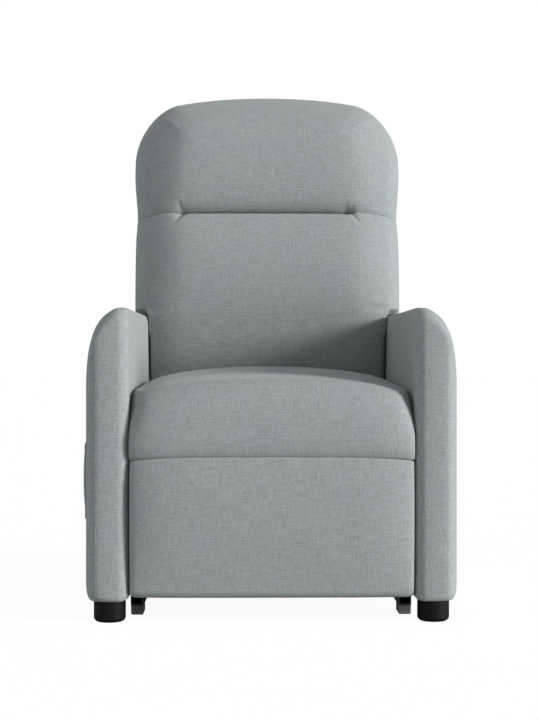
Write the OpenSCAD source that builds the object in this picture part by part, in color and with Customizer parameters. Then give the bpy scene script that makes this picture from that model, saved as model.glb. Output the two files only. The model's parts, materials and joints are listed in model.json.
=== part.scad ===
// Power lift recliner chair: an upholstered seat box on a steel base. The base stays on the
// floor while two four-bar linkages tip the whole seat forward and up. A second mechanism
// inside the seat box leans the back and swings the footrest out on a double parallelogram.
// Millimetres. X is across the chair, -Y is its front, Z is up. The origin is on the floor in
// the middle of the chair. Points of the mechanism are written [f, z]: f forward, z up.

/* [Seat box] */
// Clear width between the inner faces of the arms
seat_width = 534; // [500:1:570]
// Width of one arm
arm_width = 85; // [75:1:100]
// Height of the top of the arms above the floor
arm_height = 590; // [575:1:605]
// Front of the arms, forward of the origin
arm_front = 440; // [438:1:444]
// Back of the arms, behind the origin
arm_rear = 330; // [325:1:345]
// Radius of the arms' upper rear corner
arm_tail = 120; // [105:1:140]
// Height of the arms above the floor
foot_height = 40; // [34:1:46]
// Diameter of a foot
foot_diameter = 60; // [50:1:64]
// Distance of a foot's centre from the front or back end of the arm
foot_inset = 45; // [36:1:60]
// Radius of the round edge under a foot
foot_edge = 9; // [5:1:14]

/* [Seat cushion] */
// Height of the seat's crown above the floor
seat_height = 476; // [470:1:490]
// How far the seat's top falls from its middle to its sides
seat_crown = 23; // [12:1:30]
// Reach of the seat's front roll
seat_front = 449; // [446:1:454]
// Height of the seat springs' underside above the floor
spring_level = 394; // [390:1:396]
// Diameter of the zigzag spring wire
spring_wire = 3.8; // [3:0.1:4.2]
// Number of zigzag springs
spring_count = 5; // [4:1:6]
// Width of one zigzag spring
spring_width = 46; // [36:1:54]

/* [Back] */
// Height of the top of the back above the floor
back_height = 1090; // [1060:1:1110]
// Half the width of the back above the arms
back_half_width = 299; // [290:1:304]
// Lean of the upright back from vertical
back_lean = 15; // [13:0.5:16]
// Front of the back at seat level, behind the origin
back_face = 98; // [96:1:104]
// Thickness of the back cushion
back_cushion_depth = 135; // [125:1:140]
// Depth of the outer back, which closes over the back frame
outer_back_depth = 52; // [46:1:56]
// Wall of the outer back
outer_back_wall = 3; // [2:0.5:4]
// Height of the sewn tuft line above the floor
tuft_height = 816; // [790:1:840]
// Swell of the two pillows of the back
pillow_swell = 24; // [14:1:30]

/* [Footrest] */
// Height of the footrest's lower edge above the floor
footrest_bottom = 47; // [44:1:56]
// Reach of the footrest pad's front
footrest_front = 444; // [440:1:447]
// Front face of the footrest board
board_front = 378; // [376:1:382]
// Thickness of the footrest board
board_thick = 12; // [9:1:14]
// Side clearance of the footrest in the seat opening
footrest_clearance = 3; // [2:0.5:5]

/* [Footrest linkage] */
// Front pivot of the footrest linkage on the side plate, forward
footrest_pivot_f = 311; // [309:1:313]
// Front pivot of the footrest linkage on the side plate, height
footrest_pivot_z = 316; // [314:1:318]
// Length of the front and rear footrest links
footrest_link = 150; // [146:1:152]
// Direction of the closed footrest links, from forward towards up
footrest_closed = 246.4; // [245:0.2:248]
// Spacing of the front and rear footrest pivots
footrest_spacing = 48; // [46:1:52]
// Reach of the outer and inner links beyond the front link
footrest_reach = 110.5; // [108:0.5:112]
// Slope of the outer and inner links
footrest_slope = 26.3; // [25:0.1:27]
// Drop from the outer link to the inner link
footrest_drop = 62; // [56:1:66]
// Width of a footrest link
footrest_link_width = 22; // [18:1:23]
// Thickness of the footrest links, brackets and recline links
link_thick = 4; // [3:0.5:4]
// Radius of the footrest linkage's pins
link_pin = 5; // [4:0.5:5.5]

/* [Recline linkage] */
// Back hinge behind the origin
back_hinge_f = 170; // [168:1:172]
// Back hinge height
back_hinge_z = 300; // [298:1:303]
// Crossbar of the back cranks, forward of the back hinge
crank_f = 18; // [16:1:20]
// Crossbar of the back cranks, below the back hinge
crank_z = 68; // [66:1:70]
// Radius of that crossbar
crank_bar = 6; // [5:0.5:7]
// Distance of the recline link's pin from the rear footrest pivot
recline_arm = 30.2; // [29:0.1:32]

/* [Lift linkage] */
// Thickness of the lift links
lift_link_thick = 5; // [4:0.5:5]
// Width of the lift links
lift_link_width = 28; // [24:1:30]
// Radius of the lift links' pins
lift_pin = 6; // [5:0.5:7]
// Rear lift pivot on the base, forward
rear_lift_base_f = 220; // [217:1:223]
// Rear lift pivot on the base, height
rear_lift_base_z = 74; // [72:1:76]
// Front lift pivot on the base, forward
front_lift_base_f = 285; // [282:1:288]
// Front lift pivot on the base, height
front_lift_base_z = 70; // [68:1:72]
// Rear lift pivot on the side plate, behind the origin
rear_lift_seat_f = 110; // [106:1:114]
// Front lift pivot on the side plate, forward
front_lift_seat_f = 46; // [42:1:50]
// Height of both lift pivots on the side plate
lift_seat_z = 66; // [65:1:68]

/* [Base] */
// Width of the base tubes
rail_width = 25; // [20:1:25]
// Height of the base tubes
rail_height = 20; // [16:1:20]
// Wall of the base tubes
rail_wall = 3; // [2:0.5:4]
// Front end of the base rails
rail_front = 327; // [322:1:330]
// Back end of the base rails, behind the origin
rail_rear = 330; // [315:1:335]
// Height of the glides under the rails
glide_height = 18; // [16:1:18]
// Length of a glide
glide_length = 48; // [36:1:60]
// Thickness of the side plates and lift brackets
plate_thick = 4; // [3:0.5:4]

/* [Actuators] */
// Offset of the lift actuator from the middle, to one side
lift_side = 70; // [60:1:90]
// Offset of the recline actuator from the middle, to the other side
recline_side = 60; // [50:1:90]
// Radius of an actuator's outer tube
tube_radius = 17; // [15:0.5:19]
// Radius of an actuator's rod
rod_radius = 8; // [6:0.5:9]
// Radius of an actuator's motor
motor_radius = 26; // [22:1:28]
// Length of an actuator's motor
motor_length = 96; // [80:1:110]

/* [Pocket and hand control] */
// Bulge of the side pocket beyond the arm
pocket_bulge = 14.5; // [13:0.5:15]
// Centre of the pocket, forward of the origin
pocket_f = 260; // [240:1:275]
// Length of the pocket
pocket_length = 210; // [180:1:220]
// Bottom of the pocket above the floor
pocket_bottom = 189; // [180:1:200]
// Top of the pocket above the floor
pocket_top = 331; // [325:1:340]
// Wall of the pocket
pocket_wall = 2; // [1.5:0.5:2.5]
// Depth of the dent in the arm behind the pocket
pocket_dent = 12; // [10:1:14]
// Width of the hand control
handset_width = 56; // [50:1:64]
// Length of the hand control
handset_length = 112; // [100:1:116]
// Thickness of the hand control
handset_thick = 19; // [17:0.5:20]
// Diameter of a button
button_diameter = 15; // [12:0.5:17]
// Height of a button above the hand control
button_proud = 1.6; // [1.3:0.1:1.8]

/* [Hidden] */
$fn = 48;

// Clearances: a running pin in its bore, a soft part beside its neighbour, and a gap between
// two plates that slide past each other
pin_play = 0.1;
soft_gap = 0.3;
plate_gap = 1;
cut = 1;

fabric = [0.70, 0.70, 0.69];
dark_fabric = [0.30, 0.30, 0.31];
black = [0.06, 0.06, 0.065];
steel = [0.23, 0.24, 0.26];
zinc = [0.72, 0.73, 0.75];
wood = [0.76, 0.62, 0.44];

function polar(r, a) = [r * cos(a), r * sin(a)];
function turn(p, a) = [p[0] * cos(a) - p[1] * sin(a), p[0] * sin(a) + p[1] * cos(a)];
function angle_of(v) = atan2(v[1], v[0]);
function clamp01(t) = min(1, max(0, t));
function smooth(t) = let (c = clamp01(t)) c * c * (3 - 2 * c);

// Faces that the two sides share, as distances from the middle plane
arm_inner = seat_width / 2;
arm_outer = arm_inner + arm_width;
spacer = 2;
side_plate_in = arm_inner - spacer - plate_thick;
layer_a = side_plate_in - plate_gap - link_thick;
layer_b = layer_a - plate_gap - link_thick;
front_lift_layer = side_plate_in - 5.5 - lift_link_thick;
rear_lift_layer = front_lift_layer - 3 - lift_link_thick;
bracket_in = rear_lift_layer - 1.5 - plate_thick;
rail_out = arm_inner + 3;
rail_in = rail_out - rail_width;
rail_top = glide_height + rail_height;
foot_x = arm_inner + foot_diameter / 2 + 7;

// Pivots of the lift linkage
rear_lift_base = [rear_lift_base_f, rear_lift_base_z];
front_lift_base = [front_lift_base_f, front_lift_base_z];
rear_lift_seat = [-rear_lift_seat_f, lift_seat_z];
front_lift_seat = [front_lift_seat_f, lift_seat_z];
lift_tube_at = rear_lift_base + [-70, 46];
lift_anchor = [-276, 57];

// Pivots of the footrest linkage: two parallelograms that share the front link
footrest_front_pivot = [footrest_pivot_f, footrest_pivot_z];
slope_dir = polar(1, footrest_slope);
footrest_rear_pivot = footrest_front_pivot - footrest_spacing * slope_dir;
outer_knee = footrest_front_pivot + polar(footrest_link, footrest_closed);
outer_tail = outer_knee - footrest_spacing * slope_dir;
inner_knee = outer_knee - [0, footrest_drop];
outer_tip = outer_knee + footrest_reach * slope_dir;
inner_tip = inner_knee + footrest_reach * slope_dir;
footrest_centre = footrest_front_pivot + footrest_reach * slope_dir;
footrest_swing_radius = 64;
footrest_tube_at = footrest_rear_pivot + polar(footrest_link / 2, footrest_closed);

// Pivots of the recline linkage
back_hinge = [-back_hinge_f, back_hinge_z];
crank_at = back_hinge + [crank_f, -crank_z];
recline_pin = footrest_rear_pivot + polar(recline_arm, 248.6);
recline_anchor = [300, 345];

// Slots of the three open pivots: how far the pin wanders, and which way from the link's axis
lift_slot = [10.5, 108.3, 0.9];
recline_slot = [4.3, 109.9, 0.5];
link_slot = [4.8, 97, 1.3];
seat_eye_play = 1.9;

// ---------------------------------------------------------------- shared shapes

// A flat shape drawn in [f, z], made a plate from x0 outwards
module plate(x0, thick) {
    translate([x0 + thick, 0, 0]) rotate([90, 0, -90]) linear_extrude(thick) children();
}

module pin(p, x0, x1, r) {
    translate([x0, -p[0], p[1]]) rotate([0, 90, 0]) cylinder(h = x1 - x0, r = r);
}

module left_side() {
    mirror([1, 0, 0]) children();
}

module both_sides() {
    children();
    left_side() children();
}

// A link's shank is a little narrower than its round ends, and so is a slot
neck = 0.2;

module bar_2d(a, b, width) {
    half = width / 2 - neck;
    translate(a) rotate(angle_of(b - a)) translate([0, -half]) square([norm(b - a), 2 * half]);
    translate(a) circle(d = width);
    translate(b) circle(d = width);
}

module hole_2d(p, r) {
    translate(p) circle(r = r);
}

// A slot that starts at p and runs to p + reach, with half its width in r
module slot_2d(p, reach, r) {
    half = r - neck;
    hole_2d(p, r);
    hole_2d(p + reach, r);
    translate(p) rotate(angle_of(reach)) translate([0, -half]) square([norm(reach), 2 * half]);
}

module box(low, high) {
    translate(low) cube(high - low);
}

function reversed(list) = [for (i = [len(list) - 1:-1:0]) list[i]];

// Closed skin over rings of equal length, each in a plane of constant x and turning from
// forward towards up, in order from the chair's left to its right
module loft(rings) {
    n = len(rings[0]);
    m = len(rings);
    walls = [
        for (i = [0:m - 2], k = [0:n - 1])
            let (a = i * n + k, b = i * n + (k + 1) % n)
            each [[a, b, b + n], [a, b + n, a + n]]
    ];
    near_end = [for (k = [n - 1:-1:0]) k];
    far_end = [for (k = [0:n - 1]) (m - 1) * n + k];
    polyhedron([for (r = rings) each r], concat(walls, [near_end, far_end]));
}

// Stations across a part that is mirrored about the middle plane
function across(half) = concat([for (i = [len(half) - 1:-1:1]) -half[i]], half);

// ---------------------------------------------------------------- base

module base_rail() {
    color(black)
    difference() {
        box([rail_in, -rail_front, glide_height], [rail_out, rail_rear, rail_top]);
        box([rail_in + rail_wall, -rail_front - cut, glide_height + rail_wall],
            [rail_out - rail_wall, rail_rear + cut, rail_top - rail_wall]);
    }
}

module left_base_rail() left_side() base_rail();
module right_base_rail() base_rail();

crossbar_depth = 30;
front_crossbar_f = 150;

module base_crossbar(f) {
    difference() {
        box([-rail_in, -f - crossbar_depth / 2, glide_height],
            [rail_in, -f + crossbar_depth / 2, rail_top]);
        box([-rail_in - cut, -f - crossbar_depth / 2 + rail_wall, glide_height + rail_wall],
            [rail_in + cut, -f + crossbar_depth / 2 - rail_wall, rail_top - rail_wall]);
    }
}

module base_crossbars() {
    color(black) {
        base_crossbar(front_crossbar_f);
        base_crossbar(lift_anchor[0]);
    }
}

glide_edge = 3;

module glide_2d(w) {
    translate([-w / 2 + glide_edge, 0]) square([w - 2 * glide_edge, glide_height]);
    translate([-w / 2, glide_edge]) square([w, glide_height - glide_edge]);
    for (s = [-1, 1]) translate([s * (w / 2 - glide_edge), glide_edge]) circle(r = glide_edge);
}

module base_glides() {
    color(black)
    both_sides()
    for (y = [-rail_front + 3, rail_rear - 3 - glide_length])
        translate([(rail_in + rail_out) / 2, y + glide_length, 0])
        rotate([90, 0, 0]) linear_extrude(glide_length) glide_2d(rail_width - 1);
}

bracket_foot = 4;
bracket_front = 24;
bolt_radius = 3;
bolt_head = 5;
bracket_bolt_x = rail_out - 12;
bracket_bolts = [rear_lift_base[0] - 8, front_lift_base[0] + 10];

module lift_bracket_2d() {
    low = rail_top;
    polygon([
        [rear_lift_base[0] - bracket_front, low], [front_lift_base[0] + bracket_front, low],
        front_lift_base + polar(14, 20), front_lift_base + [0, 14],
        rear_lift_base + [0, 14], rear_lift_base + polar(14, 160),
    ]);
    hole_2d(rear_lift_base, 14);
    hole_2d(front_lift_base, 14);
}

module lift_bracket() {
    link_out = rear_lift_layer + lift_link_thick;
    front_out = front_lift_layer + lift_link_thick;
    color(steel)
    difference() {
        union() {
            plate(bracket_in, plate_thick) lift_bracket_2d();
            box([bracket_in, -front_lift_base[0] - bracket_front, rail_top],
                [arm_inner - 3, -rear_lift_base[0] + bracket_front, rail_top + bracket_foot]);
            pin(rear_lift_base, bracket_in + 1, link_out + 1, lift_pin);
            pin(rear_lift_base, link_out + 0.3, link_out + 1.8, lift_pin + 3);
            pin(front_lift_base, bracket_in + 1, front_lift_layer - 0.3, lift_pin + 3);
            pin(front_lift_base, bracket_in + 1, front_out + 1, lift_pin);
            pin(front_lift_base, front_out + 0.3, front_out + 1.8, lift_pin + 3);
        }
        for (f = bracket_bolts)
            translate([bracket_bolt_x, -f, rail_top - cut])
            cylinder(h = bracket_foot + 2 * cut, r = bolt_radius + 0.2);
    }
}

module left_lift_bracket() left_side() lift_bracket();
module right_lift_bracket() lift_bracket();

module base_bolts() {
    color(zinc)
    both_sides()
    for (f = bracket_bolts) translate([bracket_bolt_x, -f, rail_top]) {
        cylinder(h = bracket_foot + 1, r = bolt_radius);
        translate([0, 0, bracket_foot]) cylinder(h = 4, r = bolt_head, $fn = 6);
    }
}

clevis_gap = 26;
clevis_wall = 4;
anchor_pin = 5;

module lift_clevis() {
    low = rail_top;
    color(steel)
    translate([-lift_side, 0, 0]) {
        for (s = [-1, 1])
            plate(s * (clevis_gap + clevis_wall) / 2 - clevis_wall / 2, clevis_wall) {
                hole_2d(lift_anchor, 12);
                translate([lift_anchor[0] - 12, low]) square([24, lift_anchor[1] - low]);
            }
        pin(lift_anchor, -clevis_gap / 2 - clevis_wall, clevis_gap / 2 + clevis_wall, anchor_pin);
    }
}

// ---------------------------------------------------------------- lift links

lift_tube_radius = 10;
tube_wall = 2;

module rear_lift_link() {
    rib = [lift_tube_at[0] - 75, rear_lift_base[1] - 4];
    color(steel)
    plate(rear_lift_layer, lift_link_thick)
    difference() {
        union() {
            bar_2d(rear_lift_base, rear_lift_seat, lift_link_width);
            bar_2d(rear_lift_base, lift_tube_at, lift_link_width);
            polygon([rear_lift_base, lift_tube_at + [0, 13], lift_tube_at - [13, 0], rib]);
        }
        hole_2d(rear_lift_base, lift_pin + pin_play);
        hole_2d(rear_lift_seat, lift_pin + pin_play);
    }
}

module left_rear_lift_link() left_side() rear_lift_link();
module right_rear_lift_link() rear_lift_link();

module lift_cross_tube() {
    color(steel)
    difference() {
        pin(lift_tube_at, -rear_lift_layer, rear_lift_layer, lift_tube_radius);
        pin(lift_tube_at, -rear_lift_layer - cut, rear_lift_layer + cut,
            lift_tube_radius - tube_wall);
    }
}

module front_lift_link() {
    color(steel)
    plate(front_lift_layer, lift_link_thick)
    difference() {
        bar_2d(front_lift_base, front_lift_seat, lift_link_width);
        hole_2d(front_lift_base, lift_pin + pin_play);
        hole_2d(front_lift_seat, lift_pin - 1 + seat_eye_play);
    }
}

module left_front_lift_link() left_side() front_lift_link();
module right_front_lift_link() front_lift_link();

// ---------------------------------------------------------------- actuators
// Each is drawn along +X from its rear pin, then laid on the line between its two pins.

eye_radius = 11;
gearbox_start = 14;
gearbox_end = 84;
tube_bush = 8;

module along_actuator(from, to, side) {
    translate([side, -from[0], from[1]]) rotate([0, 0, -90]) rotate([0, -angle_of(to - from), 0])
        children();
}

module actuator_motor(motor_side) {
    side = tube_radius + 9;
    color(dark_fabric)
    difference() {
        union() {
            rotate([90, 0, 0]) translate([0, 0, -clevis_gap / 2 + 1])
                cylinder(h = clevis_gap - 2, r = eye_radius);
            translate([0, -clevis_gap / 2 + 1, -eye_radius])
                cube([gearbox_start + 1, clevis_gap - 2, 2 * eye_radius]);
            translate([gearbox_start, -side, -side])
                cube([gearbox_end - gearbox_start, 2 * side, 2 * side]);
            translate([gearbox_start + 4, motor_side * (side + motor_radius - 8), 0])
                rotate([0, 90, 0]) cylinder(h = motor_length, r = motor_radius);
            translate([gearbox_start + 4, motor_side * (side + motor_radius - 8), 0])
                rotate([0, 90, 0]) cylinder(h = motor_length + 6, r = motor_radius - 8);
        }
        rotate([90, 0, 0]) translate([0, 0, -clevis_gap])
            cylinder(h = 2 * clevis_gap, r = anchor_pin + pin_play);
        translate([gearbox_end - 30, 0, 0]) rotate([0, 90, 0]) cylinder(h = 30 + cut, r = tube_radius);
    }
}

module actuator_tube(end) {
    start = gearbox_end - 30;
    color(zinc)
    difference() {
        union() {
            translate([start, 0, 0]) rotate([0, 90, 0]) cylinder(h = end - start, r = tube_radius);
            translate([end - 14, 0, 0]) rotate([0, 90, 0]) cylinder(h = 14, r = tube_radius + 2);
        }
        translate([start + 6, 0, 0]) rotate([0, 90, 0])
            cylinder(h = end - start - 6 - tube_bush, r = tube_radius - tube_wall);
        translate([start + 6, 0, 0]) rotate([0, 90, 0])
            cylinder(h = end - start, r = rod_radius + pin_play);
    }
}

// The rod ends in a slotted plate, because its far pin follows an arc
module actuator_rod(start, length, pin_radius, slot) {
    reach = polar(slot[0], slot[1]);
    r = pin_radius + slot[2];
    half = 6;
    color(zinc) {
        translate([start, 0, 0]) rotate([0, 90, 0]) cylinder(h = length - r - 5 - start, r = rod_radius);
        translate([length, half, 0]) rotate([90, 0, 0]) linear_extrude(2 * half)
            difference() {
                union() {
                    slot_2d([0, 0], reach, r + 7);
                    translate([-r - 12, -rod_radius - 2]) square([r + 12, 2 * rod_radius + 4]);
                }
                slot_2d([0, 0], reach, r);
            }
    }
}

lift_length = norm(lift_tube_at - lift_anchor);
lift_tube_end = lift_length - 62;

module lift_motor() along_actuator(lift_anchor, lift_tube_at, -lift_side) actuator_motor(-1);
module lift_actuator_tube()
    along_actuator(lift_anchor, lift_tube_at, -lift_side) actuator_tube(lift_tube_end);
module lift_rod()
    along_actuator(lift_anchor, lift_tube_at, -lift_side)
        actuator_rod(gearbox_end + 70, lift_length, lift_tube_radius, lift_slot);

recline_length = norm(crank_at - recline_anchor);
recline_travel = 43;
recline_tube_end = recline_length - recline_travel - 62;

module recline_motor() along_actuator(recline_anchor, crank_at, recline_side) actuator_motor(-1);
module recline_actuator_tube()
    along_actuator(recline_anchor, crank_at, recline_side) actuator_tube(recline_tube_end);
module recline_rod()
    along_actuator(recline_anchor, crank_at, recline_side)
        mirror([0, 0, 1]) actuator_rod(gearbox_end + 60, recline_length, crank_bar,
            [recline_slot[0], -recline_slot[1], recline_slot[2]]);

// ---------------------------------------------------------------- side plates

rear_tube_at = [-235, 170];
front_tube_at = [60, 170];
frame_tube_radius = 12.5;
plate_top = spring_level - 8;
side_bolts = [[0, 312], [130, 322], [-66, 130]];

module side_plate_2d() {
    difference() {
        union() {
            polygon([
                rear_lift_seat + [-17, -2], rear_lift_seat + [-8, -15],
                front_lift_seat + [8, -15], front_lift_seat + [17, -2],
                front_tube_at + [26, -4], footrest_rear_pivot - [50, 30],
                footrest_front_pivot + [16, -18], footrest_front_pivot + [16, 8],
                [footrest_front_pivot[0] + 16, plate_top], [-seat_frame_rear, plate_top],
                [-seat_frame_rear, back_hinge[1] + 22], back_hinge + [12, 16],
                back_hinge + [-16, 8],
                rear_tube_at + [-17, 6], rear_tube_at + [-10, -17],
                rear_tube_at + [12, -20],
            ]);
            hole_2d(rear_lift_seat, 17);
            hole_2d(front_lift_seat, 17);
            hole_2d(back_hinge, 19);
            hole_2d(rear_tube_at, 20);
        }
        slot_2d([-110, 205], [55, 0], 24);
        slot_2d([-20, 225], [90, 32], 20);
        slot_2d([-36, 118], [40, 0], 16);
        for (p = side_bolts) hole_2d(p, bolt_radius + 1.2);
    }
}

module side_plate() {
    inner = side_plate_in;
    color(steel) {
        plate(side_plate_in, plate_thick) side_plate_2d();
        for (p = [footrest_front_pivot, footrest_rear_pivot, back_hinge]) {
            pin(p, layer_a + 0.2, inner + 1, link_pin);
            pin(p, inner - 0.7, inner + 1, link_pin + 2);
        }
    }
}

// Shouldered pins that carry the seat on the lift links
module lift_seat_pins() {
    inner = side_plate_in;
    rear_in = rear_lift_layer;
    front_in = front_lift_layer;
    color(zinc)
    both_sides() {
        pin(rear_lift_seat, rear_in + lift_link_thick + 0.3, inner, lift_pin + 3);
        pin(rear_lift_seat, rear_in - 1, inner, lift_pin);
        pin(rear_lift_seat, rear_in - 1.8, rear_in - 0.3, lift_pin + 3);
        pin(front_lift_seat, front_in + lift_link_thick + 0.3, inner, lift_pin + 3);
        pin(front_lift_seat, front_in - 1, inner, lift_pin - 1);
        pin(front_lift_seat, front_in - 1.8, front_in - 0.4, lift_pin + 3);
    }
}

module left_side_plate() left_side() side_plate();
module right_side_plate() side_plate();

module chassis_cross_tubes() {
    color(steel)
    for (p = [rear_tube_at, front_tube_at]) difference() {
        pin(p, -side_plate_in, side_plate_in, frame_tube_radius);
        pin(p, -side_plate_in - cut, side_plate_in + cut, frame_tube_radius - tube_wall);
    }
}

module mounting_bolts() {
    color(zinc)
    both_sides()
    for (p = side_bolts) {
        translate([side_plate_in, -p[0], p[1]]) rotate([0, -90, 0])
            cylinder(h = 3, r = bolt_head + 2, $fn = 6);
        pin(p, side_plate_in - 1, arm_inner, bolt_radius + 1);
        pin(p, side_plate_in + plate_thick, arm_inner, bolt_head + 4);
    }
}

// ---------------------------------------------------------------- arms and feet

// Round edges of the arm: how wide each is across the arm, and how far it falls away
arm_dome = [67, 136];
arm_shoulder = [31, 57];
arm_front_corner = [27, 62];
arm_edge = 14;
arm_nose = 42;

// Height of the arm's top at u, measured outwards from the arm's inner face
function arm_top(u) = min(
    arm_height - arm_dome[1] * (1 - sqrt(1 - pow(max(0, u - arm_width + arm_dome[0]) / arm_dome[0], 2))),
    arm_height - arm_shoulder[1] * (1 - sqrt(1 - pow(max(0, arm_shoulder[0] - u) / arm_shoulder[0], 2))));
function arm_draw_in(u) =
    let (e = min(u, arm_width - u))
    e >= arm_edge ? 0 : arm_edge * (1 - sqrt(1 - pow(1 - e / arm_edge, 2)));
function arm_corner(u) =
    let (t = clamp01((u - arm_width + arm_front_corner[0]) / arm_front_corner[0]))
    arm_front_corner[1] * (1 - sqrt(1 - 0.97 * t * t));
function arc(centre, r, a0, a1, n) = [for (i = [0:n]) centre + polar(r, a0 + (a1 - a0) * i / n)];

function arm_ring(u) =
    let (
        d = 0.75 * arm_draw_in(u),
        front = arm_front - max(d, arm_corner(u)),
        rear = -arm_rear + d,
        low = foot_height + 0.5 * d,
        high = arm_top(u),
        nose = arm_nose,
        tail = arm_tail,
        foot = 12)
    [for (p = concat(
        arc([front - foot, low + foot], foot, -90, 0, 4),
        arc([front - nose, high - nose], nose, 0, 90, 8),
        arc([rear + tail, high - tail], tail, 90, 180, 6),
        arc([rear + foot, low + foot], foot, 180, 270, 4)))
        [arm_inner + u, -p[0], p[1]]];

arm_stations = [
    0, 4, 9, 15, 22, 31, 40,
    for (t = [50, 59, 67, 74, 79.5, 83]) t * arm_width / 85,
    arm_width,
];

module arm() {
    color(fabric) loft([for (u = arm_stations) arm_ring(u)]);
}

// The outer panel gives way behind the pocket and runs out above its mouth
module pocket_dent_shape() {
    half = pocket_length / 2 - 14;
    low = pocket_bottom + 6;
    depth = arm_outer - pocket_dent;
    translate([0, -pocket_f, 0])
    polyhedron(
        [[arm_outer + 5, -half, low], [arm_outer + 5, half, low],
         [depth, -half, low], [depth, half, low],
         [depth, -half, pocket_top + 8], [depth, half, pocket_top + 8],
         [arm_outer + 5, -half, pocket_top + 52], [arm_outer + 5, half, pocket_top + 52]],
        [[0, 1, 3], [0, 3, 2], [2, 3, 5], [2, 5, 4], [4, 5, 7], [4, 7, 6],
         [6, 7, 1], [6, 1, 0], [0, 2, 4], [0, 4, 6], [1, 7, 5], [1, 5, 3]]);
}

module left_arm() {
    color(fabric)
    left_side() difference() {
        arm();
        pocket_dent_shape();
    }
}
module right_arm() arm();

module foot(side, y) {
    r = foot_diameter / 2;
    color(black)
    translate([side * foot_x, y, 0])
    rotate_extrude() {
        translate([0, foot_edge]) square([r, foot_height - foot_edge]);
        square([r - foot_edge, foot_height]);
        intersection() {
            translate([r - foot_edge, foot_edge]) circle(r = foot_edge);
            square([r, foot_height]);
        }
    }
}

front_foot_y = -arm_front + foot_inset;
rear_foot_y = arm_rear - foot_inset;
module front_left_foot() foot(-1, front_foot_y);
module front_right_foot() foot(1, front_foot_y);
module rear_left_foot() foot(-1, rear_foot_y);
module rear_right_foot() foot(1, rear_foot_y);

// ---------------------------------------------------------------- seat

seat_rear = back_face - 6;
seat_bottom = spring_level + spring_wire + 0.2;
rail_low = 342;
side_rail = 20;
end_rail = 34;
seat_frame_rear = seat_rear - 8;
seat_wrap = board_front - board_thick;

module seat_side_rails() {
    color(wood)
    both_sides()
    box([side_plate_in - side_rail, -seat_wrap, rail_low],
        [side_plate_in, seat_frame_rear, spring_level]);
}

module seat_end_rails() {
    inner = side_plate_in - side_rail;
    color(wood)
    for (y = [-seat_wrap, seat_frame_rear - end_rail])
        box([-inner, y, rail_low], [inner, y + end_rail, spring_level]);
}

spring_bends = 13;
bend_steps = 5;
spring_sides = 6;

// Wire centre line of one zigzag spring: half circles joined by straight runs
function spring_path(x) =
    let (
        y0 = -seat_wrap + end_rail / 2,
        y1 = seat_frame_rear - end_rail / 2,
        pitch = (y1 - y0) / spring_bends,
        r = pitch / 2,
        reach = spring_width / 2 - r)
    [for (b = [0:spring_bends - 1], i = [0:bend_steps])
        let (side = b % 2 == 0 ? 1 : -1, a = -90 + 180 * i / bend_steps)
        [x + side * (reach + r * cos(a)), y0 + pitch * b + r + r * sin(a),
         spring_level + spring_wire / 2]];

module spring(x) {
    path = spring_path(x);
    last = len(path) - 1;
    rings = [
        for (i = [0:last])
            let (
                d = path[min(last, i + 1)] - path[max(0, i - 1)],
                across = [d[1], -d[0], 0] / norm(d))
            [for (k = [0:spring_sides - 1])
                let (a = 360 * (k + 0.5) / spring_sides)
                path[i] + spring_wire / 2 * (cos(a) * across + [0, 0, sin(a)])]];
    loft(rings);
}

module seat_springs() {
    span = 2 * (side_plate_in - side_rail) - spring_width - 44;
    color(zinc)
    for (i = [0:spring_count - 1]) spring(-span / 2 + span * i / (spring_count - 1));
}

seat_half = arm_inner - 2;
seat_side_edge = 14;
seat_shoulder = 80;

// Round front corner of the seat, at its middle and at its sides: how far it reaches back and
// down from the corner, and how square it is
seat_corner = [90, 95, 2.26];
seat_side_corner = [165, 125, 1.65];

// Points of a corner that is c[0] deep and c[1] high, with its peak at [front, top]
function round_corner(front, top, c, n) = [
    for (i = [0:n])
        [front - c[0] * (1 - pow(sin(90 * i / n), 2 / c[2])),
         top - c[1] * (1 - pow(cos(90 * i / n), 2 / c[2]))]];

function seat_ring(x) =
    let (
        t = abs(x) / arm_inner,
        w = pow(clamp01((abs(x) - seat_half + seat_shoulder) / seat_shoulder), 2),
        e = clamp01((abs(x) - seat_half + seat_side_edge) / seat_side_edge),
        tuck = 1 - sqrt(1 - 0.97 * e * e),
        top = seat_height - seat_crown * pow(t, 2.4) - 9 * tuck,
        front = seat_front - 2 * t * t - 7 * tuck,
        corner = seat_corner + w * (seat_side_corner - seat_corner),
        c = footrest_centre,
        roll = footrest_swing_radius - 1 - 4 * tuck,
        under = -acos((front - 4 - c[0]) / roll),
        rear = -seat_rear)
    [for (p = reversed(concat(
        [[seat_wrap, seat_bottom], [rear, seat_bottom], [rear, seat_bottom + 20],
         [rear + 4, top - 16], [rear + 20, top - 6]],
        [for (i = [0:3])
            let (f = rear + 60 + (front - corner[0] - rear - 60) * i / 4)
            [f, top - 1.5 * pow((i - 2) / 2, 2)]],
        round_corner(front, top, corner, 9),
        [[front - 1, c[1] + roll * sin(under) + 12]],
        arc(c, roll, under, -134, 8))))
        [x, -p[0], p[1]]];

seat_stations = [0, 50, 100, 145, 180, 205, 225, 240, seat_half - seat_side_edge,
    seat_half - 8, seat_half - 3.5, seat_half - 1, seat_half];

module seat_cushion() {
    color(fabric) loft([for (x = across(seat_stations)) seat_ring(x)]);
}

panel_rear = arm_rear - 2;
panel_thick = 12;
panel_top = 280;
panel_bottom = 56;

module rear_panel() {
    half = arm_inner - soft_gap;
    color(dark_fabric)
    box([-half, panel_rear - panel_thick, panel_bottom], [half, panel_rear, panel_top]);
}

control_size = [110, 76, 38];
control_x = 110;
inlet_radius = 2.75;
inlet_depth = 9;

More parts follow.
